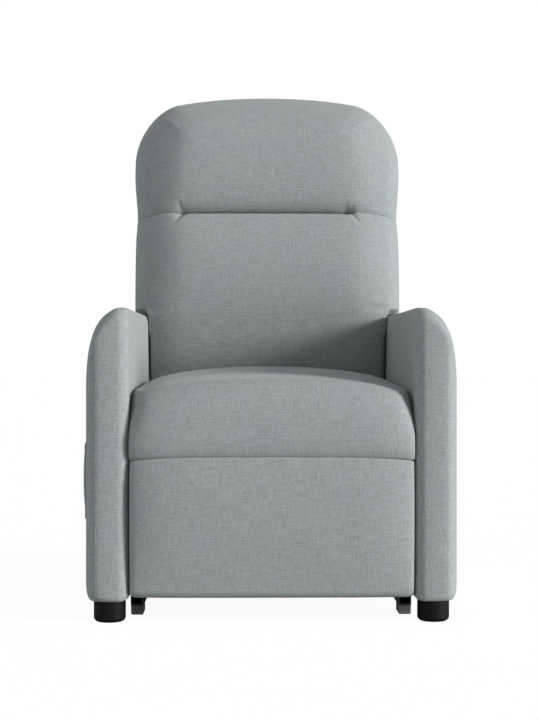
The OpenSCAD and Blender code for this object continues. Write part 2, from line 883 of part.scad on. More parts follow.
module control_box() {
    y0 = -rear_tube_at[0] - frame_tube_radius - control_size[1];
    z0 = rear_tube_at[1] - control_size[2] / 2;
    color(black)
    difference() {
        union() {
            box([control_x, y0, z0], [control_x, y0, z0] + control_size);
            translate([control_x + 30, y0 + 38, z0 - 4]) cylinder(h = 6, r = 8);
        }
        translate([control_x + 30, y0 + 38, z0 - 4 - cut])
            cylinder(h = inlet_depth + cut, r = inlet_radius);
        for (i = [0:5]) translate([control_x + 52 + 8 * i, y0 + 16, z0 + control_size[2] - 2])
            cube([3, 44, 3]);
    }
}

// ---------------------------------------------------------------- side pocket and hand control

// Height of the pocket's skin beyond the arm, at f along it and z up it
function pocket_swell(f, z) =
    let (
        a = clamp01(1 - pow(abs(f - pocket_f) / (pocket_length / 2), 3.2)),
        t = clamp01((z - pocket_bottom) / (pocket_top - pocket_bottom)),
        b = pow(sin(180 * pow(t, 0.86) * 0.84 + 4), 0.55))
    pocket_bulge * pow(a, 0.5) * b;

pocket_rows = 9;
pocket_steps = 12;

// Rows of skin points, lowest first; the outer skin lies wall further out than the inner
function pocket_grid(drop) = [
    for (j = [0:pocket_rows])
        let (z = pocket_bottom + (pocket_top - pocket_bottom) * j / pocket_rows)
        [for (i = [0:pocket_steps])
            let (
                half = pocket_length / 2,
                f = pocket_f - half + pocket_length * i / pocket_steps,
                out = max(pocket_wall, pocket_swell(f, z)))
            [arm_outer + 0.05 + out - drop, -f, z]]];

module side_pocket() {
    outer = pocket_grid(0);
    inner = pocket_grid(pocket_wall);
    n = pocket_steps + 1;
    m = pocket_rows + 1;
    points = concat([for (r = outer) each r], [for (r = inner) each r]);
    skin = [for (j = [0:m - 2], i = [0:n - 2]) let (a = j * n + i)
        each [[a, a + 1, a + n + 1], [a, a + n + 1, a + n]]];
    lining = [for (f = skin) [f[0] + n * m, f[2] + n * m, f[1] + n * m]];
    edge = concat(
        [for (i = [0:n - 1]) i],
        [for (j = [1:m - 1]) j * n + n - 1],
        [for (i = [n - 2:-1:0]) (m - 1) * n + i],
        [for (j = [m - 2:-1:1]) j * n]);
    rim = [for (k = [0:len(edge) - 1])
        let (a = edge[k], b = edge[(k + 1) % len(edge)])
        each [[a, b + n * m, b], [a, a + n * m, b + n * m]]];
    color(fabric) left_side() polyhedron(points, concat(skin, lining, rim));
}

handset_back = arm_outer - pocket_dent + 0.5;
handset_face = handset_back + handset_thick;
handset_low = pocket_bottom + 22;
button_travel = 1;
button_play = 0.3;
button_depth = 7;
button_rows = [0.42, 0.80];
button_offset = 12;

function button_place(column, row) = [
    handset_face,
    -pocket_f + column * button_offset,
    handset_low + handset_length * button_rows[row]];

module handset_outline(width, length) {
    r = 10;
    translate([-width / 2, r]) square([width, length - 2 * r]);
    translate([-width / 2 + r, 0]) square([width - 2 * r, length]);
    for (x = [-1, 1], y = [r, length - r]) translate([x * (width / 2 - r), y]) circle(r = r);
}

module handset() {
    color(black)
    left_side() difference() {
        translate([handset_back, -pocket_f, handset_low])
            rotate([90, 0, 90]) linear_extrude(handset_thick)
            handset_outline(handset_width, handset_length);
        for (column = [-1, 1], row = [0, 1])
            translate(button_place(column, row) - [button_depth, 0, 0])
            rotate([0, 90, 0]) cylinder(h = button_depth + cut, d = button_diameter + 2 * button_play);
    }
}

module button(column, row, shade) {
    h = button_depth - button_travel - 0.5 + button_proud;
    color(shade)
    left_side()
    translate(button_place(column, row) + [button_proud - h, 0, 0])
    rotate([0, 90, 0]) {
        cylinder(h = h - 0.6, d = button_diameter);
        cylinder(h = h, d = button_diameter - 1.2);
    }
}

module lift_button() button(-1, 1, [0.8, 0.8, 0.8]);
module lower_button() button(-1, 0, [0.8, 0.8, 0.8]);
module recline_button() button(1, 0, [0.6, 0.6, 0.62]);
module sit_button() button(1, 1, [0.6, 0.6, 0.62]);

module recline_clevis() {
    front = seat_wrap - end_rail;
    color(steel)
    translate([recline_side, 0, 0]) {
        for (s = [-1, 1])
            plate(s * (clevis_gap + clevis_wall) / 2 - clevis_wall / 2, clevis_wall) {
                hole_2d(recline_anchor, 12);
                translate([recline_anchor[0], recline_anchor[1] - 12])
                    square([front - recline_anchor[0], 30]);
            }
        pin(recline_anchor, -clevis_gap / 2 - clevis_wall, clevis_gap / 2 + clevis_wall, anchor_pin);
    }
}

// ---------------------------------------------------------------- back
// Drawn upright from the front of the back at seat level, then leaned: y runs to the rear.

module lean() {
    translate([0, back_face, seat_height]) rotate([-back_lean, 0, 0]) children();
}

// A point [f, z] of the chair as [y, z] of the leaned back
function leaned(p) =
    let (y = -p[0] - back_face, z = p[1] - seat_height)
    [y * cos(back_lean) - z * sin(back_lean), y * sin(back_lean) + z * cos(back_lean)];

hinge_l = leaned(back_hinge);
back_above_hinge = 21.4;
back_low = hinge_l[1] + back_above_hinge;
back_narrow = arm_inner - 3;

// The back swings over the arms, so its overhang is round about the hinge
arm_tail_centre = [arm_tail - arm_rear, arm_height - arm_tail];
overhang_radius = max(norm(arm_tail_centre - back_hinge) + arm_tail, arm_height - back_hinge_z)
    + 3.4;

// Round front corner of the back's top: its depth, its height and the flat behind it
crown_flat = 8;
crown_depth = back_cushion_depth - crown_flat;
crown_height = 74;
back_top = crown_height + (back_height - seat_height + crown_depth * sin(back_lean)
    - norm([crown_depth * sin(back_lean), crown_height * cos(back_lean)])) / cos(back_lean);
tuft_l = (tuft_height - seat_height) / cos(back_lean);
corner_half = 95;
corner_drop = 128;
corner_power = 1.8;

// Top edge of the back as seen from the front: a flat crown between two round corners
function back_edge(x) =
    let (
        a = min(abs(x), back_half_width),
        crown = a * a / 2600,
        t = clamp01((a - back_half_width + corner_half) / corner_half))
    back_top - crown - corner_drop * (1 - pow(1 - pow(t, corner_power), 1 / corner_power));

// How far the side of the back cushion rolls away from its face
back_roll = 72;
function back_recede(x) =
    let (t = clamp01((abs(x) - back_half_width + back_roll) / back_roll))
    92 * (1 - sqrt(1 - 0.995 * t * t));

// Two pillows, the upper one above the tuft line
function back_swell(x, z, top) =
    let (
        low = sin(180 * clamp01((z - 12) / (tuft_l - 12))),
        high = sin(180 * clamp01((z - tuft_l) / (top - tuft_l))),
        middle = 1 - pow(abs(x) / back_half_width, 2.6))
    pillow_swell * middle * pow(max(0, z < tuft_l ? low : high), 0.6);

// Lowest point of the overhanging part at depth y, on a circle about the hinge
function overhang_low(y) = hinge_l[1] + sqrt(pow(overhang_radius, 2) - pow(y - hinge_l[0], 2));

front_rows = 17;
top_steps = 8;

// The cushion stands upright behind the seat, and its lower corners are round
function back_ring(x, narrow) =
    let (
        depth = back_cushion_depth,
        top = back_edge(x),
        face = back_recede(x),
        round_z = min(crown_height, crown_height - 0.5 * (back_top - crown_height - top)),
        round_y = depth - face - crown_flat,
        corner = clamp01((abs(x) - back_narrow + 34) / 34),
        low = back_low + 44 * (1 - sqrt(1 - corner * corner)),
        front_low = narrow ? low : overhang_low(face),
        upright = function (z) narrow ? max(0, -z) * tan(back_lean) : 0)
    [for (p = concat(
        [for (i = [0:4])
            let (y = depth - (depth - face - upright(front_low)) * i / 4)
            [y, narrow ? low : overhang_low(y)]],
        [for (i = [1:front_rows])
            let (z = front_low + (top - round_z - front_low) * i / front_rows)
            [face - back_swell(x, z, top) + upright(z), z]],
        [for (i = [1:top_steps])
            let (a = 90 * i / top_steps, s = back_swell(x, top - round_z, top))
            [depth - crown_flat - (round_y + s) * cos(a), top - round_z * (1 - sin(a))]],
        [[depth, top - 2]]))
        [x, p[0], p[1]]];

back_wide_stations = [back_narrow, back_narrow + 9, back_narrow + 18, back_narrow + 26,
    back_half_width - 4, back_half_width - 1, back_half_width];

module back_cushion() {
    inside = [0, 50, 100, 145, 185, 215, 240, back_narrow - 0.4];
    right = [for (x = inside) back_ring(x, true)];
    rest = [for (x = back_wide_stations) back_ring(x, false)];
    left_rest = [for (i = [len(back_wide_stations) - 1:-1:0]) back_ring(-back_wide_stations[i], false)];
    left = [for (i = [len(inside) - 1:-1:1]) back_ring(-inside[i], true)];
    color(fabric) lean() loft(concat(left_rest, left, right, rest));
}

// Outline of the outer back, drawn in [x, z] of the leaned back
wide_low = overhang_low(back_cushion_depth) + 4;
module outer_back_2d(inset) {
    half = back_half_width - 1 - inset;
    steps = 20;
    arch = [for (i = [-steps:steps]) let (x = half * sin(90 * i / steps))
        [x, back_edge(x * (back_half_width - 0.5) / half) - 4 - inset]];
    polygon(concat(arch, [
        [half, wide_low + inset], [back_narrow - inset, wide_low + inset],
        [back_narrow - inset, back_low], [-back_narrow + inset, back_low],
        [-back_narrow + inset, wide_low + inset], [-half, wide_low + inset]]));
}

module outer_back() {
    wall = outer_back_wall;
    color(fabric)
    lean()
    translate([0, back_cushion_depth + outer_back_depth, 0]) rotate([90, 0, 0])
    difference() {
        linear_extrude(outer_back_depth) outer_back_2d(0);
        translate([0, 0, wall]) linear_extrude(outer_back_depth) intersection() {
            outer_back_2d(wall);
            translate([-back_half_width, back_low - cut])
                square([2 * back_half_width, back_top - back_low]);
        }
        translate([-back_narrow + wall, back_low - cut, wall])
            cube([2 * (back_narrow - wall), 5, outer_back_depth]);
    }
}

stile_width = 42;
back_rail_height = 60;
middle_rail = 200;
stile_top = back_top - corner_drop - 24;
strap_width = 34;
strap_y = back_cushion_depth + outer_back_depth / 2;
strap_top = 90;
frame_depth = outer_back_depth - outer_back_wall;

module back_stiles() {
    color(wood)
    both_sides()
    lean() box([layer_a - stile_width, back_cushion_depth, back_low + 4],
        [layer_a, back_cushion_depth + frame_depth, stile_top]);
}

module back_rails() {
    inner = layer_a - stile_width;
    color(wood)
    lean()
    for (z = [back_low + 4, middle_rail, stile_top - back_rail_height])
        box([-inner, back_cushion_depth, z],
            [inner, back_cushion_depth + frame_depth, z + back_rail_height]);
}

module back_bracket() {
    rise = [[back_cushion_depth + 6, hinge_l[1] + 14], [back_cushion_depth + 6, strap_top],
        [back_cushion_depth + 6 + strap_width, strap_top],
        [back_cushion_depth + 6 + strap_width, hinge_l[1] + 6],
        [hinge_l[0] + 6, hinge_l[1] - 16], [hinge_l[0] - 4, hinge_l[1] + 15]];
    color(steel)
    difference() {
        union() {
            plate(layer_a, link_thick) {
                bar_2d(back_hinge, crank_at, 26);
                hole_2d(back_hinge, 16);
            }
            lean() translate([layer_a, 0, 0]) rotate([90, 0, 90]) linear_extrude(link_thick)
                polygon(rise);
        }
        pin(back_hinge, layer_a - cut, layer_a + link_thick + cut, link_pin + pin_play);
        pin(crank_at, layer_a - cut, layer_a + link_thick + cut, crank_bar);
    }
}

module left_back_bracket() left_side() back_bracket();
module right_back_bracket() back_bracket();

module back_crossbar() {
    color(zinc) pin(crank_at, -layer_a - link_thick, layer_a + link_thick, crank_bar);
}

module recline_links() {
    reach = turn(polar(link_slot[0], link_slot[1]), angle_of(recline_pin - crank_at));
    r = crank_bar + link_slot[2];
    color(steel)
    both_sides()
    plate(layer_b, link_thick)
    difference() {
        union() {
            bar_2d(crank_at, recline_pin, 13);
            hole_2d(recline_pin, 10);
            slot_2d(crank_at, reach, r + 6);
        }
        slot_2d(crank_at, reach, r);
        hole_2d(recline_pin, link_pin + pin_play);
    }
}

// ---------------------------------------------------------------- footrest

// A pin that joins a link of layer A to one of layer B
module link_rivet(p) {
    pin(p, layer_b - 1, layer_a + link_thick, link_pin);
    pin(p, layer_b - 1.8, layer_b - 0.3, link_pin + 3);
}

module front_footrest_links() {
    color(steel)
    both_sides() {
        plate(layer_a, link_thick)
        difference() {
            union() {
                bar_2d(footrest_front_pivot, outer_knee, footrest_link_width);
                bar_2d(outer_knee, inner_knee, footrest_link_width);
            }
            hole_2d(footrest_front_pivot, link_pin + pin_play);
        }
        link_rivet(outer_knee);
        link_rivet(inner_knee);
    }
}

module rear_footrest_links() {
    color(steel)
    both_sides() {
        plate(layer_a, link_thick)
        difference() {
            bar_2d(footrest_rear_pivot, outer_tail, footrest_link_width);
            hole_2d(footrest_rear_pivot, link_pin + pin_play);
        }
        link_rivet(outer_tail);
        link_rivet(recline_pin);
    }
}

module footrest_cross_tube() {
    color(steel)
    difference() {
        pin(footrest_tube_at, -layer_a, layer_a, footrest_link_width / 2 - 1);
        pin(footrest_tube_at, -layer_a - cut, layer_a + cut, footrest_link_width / 2 - 1 - tube_wall);
    }
}

module outer_footrest_links() {
    color(steel)
    both_sides()
    plate(layer_b, link_thick)
    difference() {
        bar_2d(outer_tail, outer_tip, footrest_link_width);
        hole_2d(outer_knee, link_pin + pin_play);
        hole_2d(outer_tail, link_pin + 0.3);
        hole_2d(outer_tip, link_pin + pin_play);
    }
}

module inner_footrest_links() {
    color(steel)
    both_sides()
    plate(layer_b, link_thick)
    difference() {
        bar_2d(inner_knee, inner_tip, footrest_link_width);
        hole_2d(inner_knee, link_pin + pin_play);
        hole_2d(inner_tip, link_pin + 0.3);
    }
}

bracket_flange = 3;
bracket_reach = 30;

module footrest_brackets() {
    back = seat_wrap;
    r = footrest_link_width / 2;
    color(steel)
    both_sides() {
        plate(layer_a, link_thick) {
            bar_2d(inner_tip, outer_tip, footrest_link_width);
            translate([outer_tip[0], inner_tip[1] - r])
                square([back - outer_tip[0], outer_tip[1] - inner_tip[1] + 2 * r]);
        }
        box([layer_a - bracket_reach, -back, inner_tip[1] - r],
            [layer_a + link_thick, -back + bracket_flange, outer_tip[1] + r]);
        link_rivet(outer_tip);
        link_rivet(inner_tip);
    }
}

board_half = arm_inner - 12;
board_bottom = footrest_bottom + 11;
board_top = 300;

module footrest_board() {
    color(wood)
    box([-board_half, -board_front, board_bottom], [board_half, -seat_wrap, board_top]);
}

footrest_half = arm_inner - footrest_clearance;
pad_edge = 14;
pad_slant = 20;

// The pad's top slants down to the rear, so that it swings clear of the seat's front roll
function pad_ring(x) =
    let (
        t = abs(x) / footrest_half,
        e = clamp01((abs(x) - footrest_half + pad_edge) / pad_edge),
        tuck = 1 - sqrt(1 - 0.97 * e * e),
        rear = board_front,
        front = footrest_front - 2 * pow(t, 3) - 7 * tuck,
        low = footrest_bottom + 6 * tuck,
        c = footrest_centre,
        rim = footrest_swing_radius + 1 + 4 * tuck,
        top = c[1] - sqrt(pow(rim, 2) - pow(front - 6 - c[0], 2)))
    [for (p = reversed(concat(
        [[rear, top - pad_slant], [front - 6, top], [front - 2, top - 6], [front, top - 18],
         [front + 1, top - 60], [front + 2, 0.5 * (top + low)], [front + 1, low + 60],
         [front, low + 26]],
        arc([front - 16, low + 16], 16, 0, -90, 4),
        [[rear + 20, low], [rear + 4, low + 3], [rear, low + 12]])))
        [x, -p[0], p[1]]];

pad_stations = [0, 80, 150, 200, footrest_half - 30, footrest_half - pad_edge,
    footrest_half - 8, footrest_half - 3.5, footrest_half - 1, footrest_half];

module footrest_pad() {
    color(fabric) loft([for (x = across(pad_stations)) pad_ring(x)]);
}

// ---------------------------------------------------------------- nodes

left_base_rail();
right_base_rail();
base_crossbars();
base_glides();
left_lift_bracket();
right_lift_bracket();
lift_clevis();
base_bolts();
left_rear_lift_link();
right_rear_lift_link();
lift_cross_tube();
left_front_lift_link();
right_front_lift_link();
lift_motor();
lift_actuator_tube();
lift_rod();
left_side_plate();
right_side_plate();
lift_seat_pins();
chassis_cross_tubes();
left_arm();
right_arm();
front_left_foot();
front_right_foot();
rear_left_foot();
rear_right_foot();
seat_side_rails();
seat_end_rails();
seat_springs();
seat_cushion();
rear_panel();
control_box();
mounting_bolts();
side_pocket();
handset();
lift_button();
lower_button();
recline_button();
sit_button();
recline_clevis();
recline_motor();
recline_actuator_tube();
recline_rod();
back_cushion();
outer_back();
back_stiles();
back_rails();
left_back_bracket();
right_back_bracket();
back_crossbar();
recline_links();
front_footrest_links();
rear_footrest_links();
footrest_cross_tube();
outer_footrest_links();
inner_footrest_links();
footrest_brackets();
footrest_board();
footrest_pad();
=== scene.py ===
"""The looks of the power lift recliner chair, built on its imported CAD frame.

Shapes are worked out in millimetres, in the chair's own frame: X across, -Y to the front and
Z up. A profile point is [f, z], with f forward. They become metres where a piece is made.
"""

import json

import bmesh
import bpy
import numpy as np
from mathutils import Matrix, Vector


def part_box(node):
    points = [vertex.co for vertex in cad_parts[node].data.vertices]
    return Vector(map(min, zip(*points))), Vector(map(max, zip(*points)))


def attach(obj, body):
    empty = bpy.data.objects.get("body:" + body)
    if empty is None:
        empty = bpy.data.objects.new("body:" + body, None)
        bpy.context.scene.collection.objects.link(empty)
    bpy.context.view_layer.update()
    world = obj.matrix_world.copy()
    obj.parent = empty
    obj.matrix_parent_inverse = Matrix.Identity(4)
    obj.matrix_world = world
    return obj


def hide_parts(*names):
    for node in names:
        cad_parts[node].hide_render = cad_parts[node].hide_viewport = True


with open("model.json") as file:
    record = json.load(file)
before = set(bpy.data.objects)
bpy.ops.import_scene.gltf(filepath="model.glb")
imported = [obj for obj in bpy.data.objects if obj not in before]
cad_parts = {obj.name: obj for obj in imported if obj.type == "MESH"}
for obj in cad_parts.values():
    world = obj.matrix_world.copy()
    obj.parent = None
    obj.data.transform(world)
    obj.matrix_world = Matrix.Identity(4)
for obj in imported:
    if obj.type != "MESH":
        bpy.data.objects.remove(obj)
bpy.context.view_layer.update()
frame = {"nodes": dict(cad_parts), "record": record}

MM = 0.001

# Where on the cloth each cover is cut, so that no two show the same stretch of weave
CUT_ARM_PANELS = 1000.0
CUT_LEFT_ARM = 400.0
CUT_POCKET = 700.0
CUT_SEAT = 0.0
CUT_PAD = 2000.0
CUT_OUTER_BACK = 3000.0
CUT_REAR_PANEL = 5000.0

# Arms: inner and outer face, top, front and rear, and how their tops meet the back
ARM_INNER = 267.0
ARM_WIDTH = 85.0
ARM_OUTER = ARM_INNER + ARM_WIDTH
ARM_HEIGHT = 590.0
ARM_FRONT = 440.0
ARM_REAR = 330.0
SHOULDER_WIDE = 7.0
SHOULDER_DROP = 22.0
FOOT_HEIGHT = 40.0

# Seat cushion, and the arc on which the footrest pad swings close under its front
SEAT_HEIGHT = 476.0
SEAT_FRONT = 452.0
SWING_CENTRE = np.array([410.06, 364.96])
SWING_RADIUS = 64.0

# Back, upright before it leans: y runs rearward from its face, and z up from the seat
LEAN = np.radians(15.0)
BACK_FACE = 98.0
BACK_HALF = 298.4
BACK_NARROW = 265.6
BACK_DEPTH = 135.0
OUTER_DEPTH = 52.0
BACK_TOP = 683.2
BACK_LOW = -130.0
TUFT = 352.0
WAIST = 80.0
# The back's face rolls away at its sides, over WIDE by DEEP
ROLL_WIDE = 95.0
ROLL_DEEP = 62.0


# ---------------------------------------------------------------- small helpers


def clamp01(t):
    return np.clip(t, 0.0, 1.0)


def smooth(t):
    t = clamp01(t)
    return t * t * (3 - 2 * t)


def bump(t):
    """A soft hill, 1 at t = 0."""
    return np.exp(-np.square(t))


def quarter(t):
    """How far a quarter circle has fallen away at t, from 0 at its crown to 1 at its edge."""
    return 1 - np.sqrt(np.maximum(0.0, 1 - np.square(clamp01(t))))


def blunt_quarter(t):
    """As quarter, but it ends a little short of upright."""
    t = clamp01(t)
    return 1 - np.sqrt(1 - 0.985 * t * t)


def groove(gap, deep, wide):
    """A seam or hollow, deepest where gap is 0."""
    return deep * bump(gap / wide)


def toward_edge(gap, amount, reach):
    """What grows to amount at an edge, and is felt over a few times reach from it."""
    return amount * np.exp(-gap / reach)


def arc(centre, radius, start, end, steps):
    """Points on a circle, from start to end in degrees."""
    a = np.radians(np.linspace(start, end, steps + 1))
    return np.stack([centre[0] + radius * np.cos(a), centre[1] + radius * np.sin(a)], 1)


def line(a, b, steps):
    """Points between a and b, without either end."""
    t = np.linspace(0, 1, steps + 1)[1:-1, None]
    return np.asarray(a) * (1 - t) + np.asarray(b) * t


def arc_length(points):
    """Distance of each point from its line's first, along the line."""
    steps = np.linalg.norm(np.diff(points, axis=-2), axis=-1)
    zero = np.zeros(steps.shape[:-1] + (1,))
    return np.concatenate([zero, np.cumsum(steps, -1)], -1)


def quads_between(index, closed=False, flip=False):
    """Quads over rows of vertex indices, and where closed from the last column to the first."""
    if closed:
        index = np.concatenate([index, index[:, :1]], 1)
    a, b, c, d = index[:-1, :-1], index[:-1, 1:], index[1:, 1:], index[1:, :-1]
    return np.stack([a, d, c, b] if flip else [a, b, c, d], -1).reshape(-1, 4).tolist()


def grid_faces(rows, cols, start=0, closed=False, flip=False):
    """Quads of a rows x cols grid of vertices that are numbered row by row from start."""
    return quads_between(np.arange(rows * cols).reshape(rows, cols) + start, closed, flip)


def sheet_faces(rows, cols, flip=False):
    """Faces of a sheet: two rows x cols grids of vertices, one behind the other, and the rim
    that joins them."""
    count = rows * cols
    index = np.arange(count).reshape(rows, cols)
    rim = np.concatenate([index[0], index[1:, -1], index[-1, -2::-1], index[-2:0:-1, 0]])
    after = np.roll(rim, -1)
    corners = [rim, rim + count, after + count, after]
    if flip:
        corners = [rim, after, after + count, rim + count]
    skins = grid_faces(rows, cols, flip=flip) + grid_faces(rows, cols, count, flip=not flip)
    return skins + np.stack(corners, 1).tolist()


def make_piece(name, points, faces, cloth, body, replaces, slot="grey_fabric"):
    """A smooth mesh from points in millimetres, with the cloth's own coordinates on them."""
    mesh = bpy.data.meshes.new(name)
    mesh.from_pydata((np.asarray(points) * MM).tolist(), [], faces)
    mesh.validate()
    mesh.shade_smooth()
    flat = np.zeros((len(points), 3))
    flat[:, :2] = cloth * MM
    attribute = mesh.attributes.new("cloth", "FLOAT_VECTOR", "POINT")
    attribute.data.foreach_set("vector", flat.ravel())
    mesh.materials.append(MATERIALS[slot])
    piece = bpy.data.objects.new(name, mesh)
    bpy.context.scene.collection.objects.link(piece)
    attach(piece, body)
    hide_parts(*replaces)
    return piece


CAP_CORE = 0.02  # size of a cap's last, flat ring against its edge


def loft(rings, cap_steps):
    """Closed skin over rings of equal length, with concentric caps at both ends.

    Returns points, faces and how far into a cap each point lies, from 0 at its edge to 1.
    """
    count, size = rings.shape[:2]
    points = [rings.reshape(-1, 3)]
    faces = grid_faces(count, size, closed=True)
    depth = [np.zeros(count * size)]
    start = count * size
    a = np.arange(size)
    b = (a + 1) % size
    for first_ring, ring in ((True, rings[0]), (False, rings[-1])):
        centre = 0.5 * (ring.min(0) + ring.max(0))
        shares = 1 - np.linspace(0, 1, cap_steps + 1)[1:]
        shares[-1] = CAP_CORE
        here = 0 if first_ring else (count - 1) * size
        for share in shares:
            points.append(centre + (ring - centre) * share)
            depth.append(np.full(size, 1 - share))
            quads = np.stack([here + a, here + b, start + b, start + a], 1)
            faces += (quads[:, ::-1] if first_ring else quads).tolist()
            here = start
            start += size
        last = (here + a).tolist()
        faces.append(last[::-1] if first_ring else last)
    return np.concatenate(points), faces, np.concatenate(depth)


# ---------------------------------------------------------------- materials


def new_material(name):
    material = bpy.data.materials.new(name)
    material.use_nodes = True
    tree = material.node_tree
    return material, tree, tree.nodes["Principled BSDF"]


def add(tree, kind, inputs=None, **settings):
    """A new node, with its settings, and its inputs set to values or linked to outputs."""
    node = tree.nodes.new(kind)
    for key, value in settings.items():
        setattr(node, key, value)
    for key, value in (inputs or {}).items():
        if isinstance(value, bpy.types.NodeSocket):
            tree.links.new(value, node.inputs[key])
        else:
            node.inputs[key].default_value = value
    return node


def stretched_noise(tree, vector, scale, detail, roughness=0.5):
    """Noise with its own scale along each axis."""
    place = add(tree, "ShaderNodeMapping", {"Vector": vector, "Scale": scale}).outputs[0]
    inputs = {"Vector": place, "Scale": 1.0, "Detail": detail, "Roughness": roughness}
    return add(tree, "ShaderNodeTexNoise", inputs).outputs["Fac"]


def combine(tree, operation, a, b):
    return add(tree, "ShaderNodeMath", {0: a, 1: b}, operation=operation).outputs[0]


def colour_mix(tree, inputs, **settings):
    return add(tree, "ShaderNodeMix", inputs, data_type="RGBA", **settings).outputs["Result"]


def opaque(colour, gain=1.0):
    """A colour, lighter or darker by gain, with full alpha."""
    return (*[min(1.0, c * gain) for c in colour], 1.0)


def set_bump(tree, shader, height, strength, distance):
    relief = add(tree, "ShaderNodeBump",
                 {"Strength": strength, "Distance": distance, "Height": height})
    tree.links.new(relief.outputs[0], shader.inputs["Normal"])


# The weave's noises, in cycles per metre along the cloth's two ways
WARP = (640.0, 34.0, 1.0)
WEFT = (30.0, 600.0, 1.0)
SHORT_WARP = (900.0, 110.0, 1.0)
SHORT_WEFT = (110.0, 900.0, 1.0)
CLOUD = (9.0, 9.0, 1.0)
SHORT_SHARE = 0.6
WEAVE_CONTRAST = 0.58
THREAD_PITCH = 0.0013
THREAD_RELIEF = 0.25


def fabric_material(name, cool, warm):
    """A plain linen weave: slubs along both threads, and the threads themselves as bump. The
    tone wanders slowly from a cool to a warm one."""
    material, tree, shader = new_material(name)
    cloth = add(tree, "ShaderNodeAttribute", attribute_name="cloth").outputs["Vector"]
    warp = stretched_noise(tree, cloth, WARP, 3.0)
    weft = stretched_noise(tree, cloth, WEFT, 3.0)
    short_warp = stretched_noise(tree, cloth, SHORT_WARP, 1.0)
    short_weft = stretched_noise(tree, cloth, SHORT_WEFT, 1.0)
    cloud = stretched_noise(tree, cloth, CLOUD, 2.0)
    slubs = combine(tree, "ADD", warp, weft)
    shorts = combine(tree, "ADD", short_warp, short_weft)
    total = combine(tree, "ADD", slubs, combine(tree, "MULTIPLY", shorts, SHORT_SHARE))
    shade = combine(tree, "MULTIPLY_ADD", total, WEAVE_CONTRAST)
    # Each noise averages a half, so this keeps the mean shade at 1
    shade.node.inputs[2].default_value = 1 - (1 + SHORT_SHARE) * WEAVE_CONTRAST
    tinted = colour_mix(tree, {"Factor": cloud, "A": opaque(cool), "B": opaque(warm)})
    grey = add(tree, "ShaderNodeCombineColor", {"Red": shade, "Green": shade, "Blue": shade})
    base = colour_mix(tree, {"Factor": 1.0, "A": tinted, "B": grey.outputs[0]},
                      blend_type="MULTIPLY")
    tree.links.new(base, shader.inputs["Base Color"])
    split = add(tree, "ShaderNodeSeparateXYZ", {"Vector": cloth}).outputs
    turns = 2 * np.pi / THREAD_PITCH
    threads = [combine(tree, "SINE", combine(tree, "MULTIPLY", split[way], turns), 0.0)
               for way in ("X", "Y")]
    weave = combine(tree, "MULTIPLY", threads[0], threads[1])
    height = combine(tree, "ADD", combine(tree, "MULTIPLY", weave, THREAD_RELIEF), slubs)
    set_bump(tree, shader, height, strength=0.35, distance=0.0003)
    shader.inputs["Roughness"].default_value = 0.93
    shader.inputs["Specular IOR Level"].default_value = 0.18
    shader.inputs["Sheen Weight"].default_value = 0.12
    shader.inputs["Sheen Roughness"].default_value = 0.45
    return material


SLOW = (14.0, 14.0, 14.0)
WOOD_GRAIN = (9.0, 160.0, 160.0)
ROUGH_SPREAD = 0.08


def grained_material(name, colour, rough, metallic=0.0, grain=600.0, depth=0.00008,
                     specular=0.5, wear=0.25):
    """Moulded plastic, powder coat or steel: a fine grain, and a slow change of tone."""
    material, tree, shader = new_material(name)
    place = add(tree, "ShaderNodeTexCoord").outputs["Object"]
    fine = stretched_noise(tree, place, (grain, grain, grain), 3.0)
    slow = stretched_noise(tree, place, SLOW, 4.0, 0.6)
    tones = {"Factor": slow, "A": opaque(colour, 1 - wear), "B": opaque(colour, 1 + wear)}
    tree.links.new(colour_mix(tree, tones), shader.inputs["Base Color"])
    spread = add(tree, "ShaderNodeMapRange",
                 {"Value": slow, "To Min": rough - ROUGH_SPREAD, "To Max": rough + ROUGH_SPREAD})
    tree.links.new(spread.outputs[0], shader.inputs["Roughness"])
    set_bump(tree, shader, fine, strength=0.5, distance=depth)
    shader.inputs["Metallic"].default_value = metallic
    shader.inputs["Specular IOR Level"].default_value = specular
    return material


def wood_material(name, dark, pale):
    """Planed wood with its grain across the chair."""
    material, tree, shader = new_material(name)
    place = add(tree, "ShaderNodeTexCoord").outputs["Object"]
    grain = stretched_noise(tree, place, WOOD_GRAIN, 6.0, 0.65)
    tones = {"Factor": grain, "A": opaque(dark), "B": opaque(pale)}
    tree.links.new(colour_mix(tree, tones), shader.inputs["Base Color"])
    set_bump(tree, shader, grain, strength=0.4, distance=0.0002)
    shader.inputs["Roughness"].default_value = 0.7
    return material


MATERIALS = {
    "grey_fabric": fabric_material("grey_linen", (0.322, 0.345, 0.346), (0.338, 0.355, 0.348)),
    "black_steel": grained_material("powder_coat", (0.016, 0.016, 0.017), 0.42),
    "link_steel": grained_material("link_steel", (0.045, 0.047, 0.05), 0.38, 0.7),
    "zinc_steel": grained_material("zinc_steel", (0.56, 0.57, 0.58), 0.32, 1.0, 300.0, 0.00003,
                                   wear=0.12),
    "black_plastic": grained_material("black_plastic", (0.011, 0.011, 0.012), 0.45),
    "dark_plastic": grained_material("dark_plastic", (0.035, 0.036, 0.038), 0.5),
    "button_plastic": grained_material("button_plastic", (0.42, 0.43, 0.44), 0.45, wear=0.06),
    "frame_wood": wood_material("frame_wood", (0.30, 0.18, 0.08), (0.66, 0.48, 0.28)),
}
FOOT_RUBBER = grained_material("foot_rubber", (0.004, 0.004, 0.0043), 0.6, specular=0.14)
GLIDE_PLASTIC = grained_material("glide_plastic", (0.13, 0.13, 0.134), 0.5, specular=0.3)


# ---------------------------------------------------------------- arms

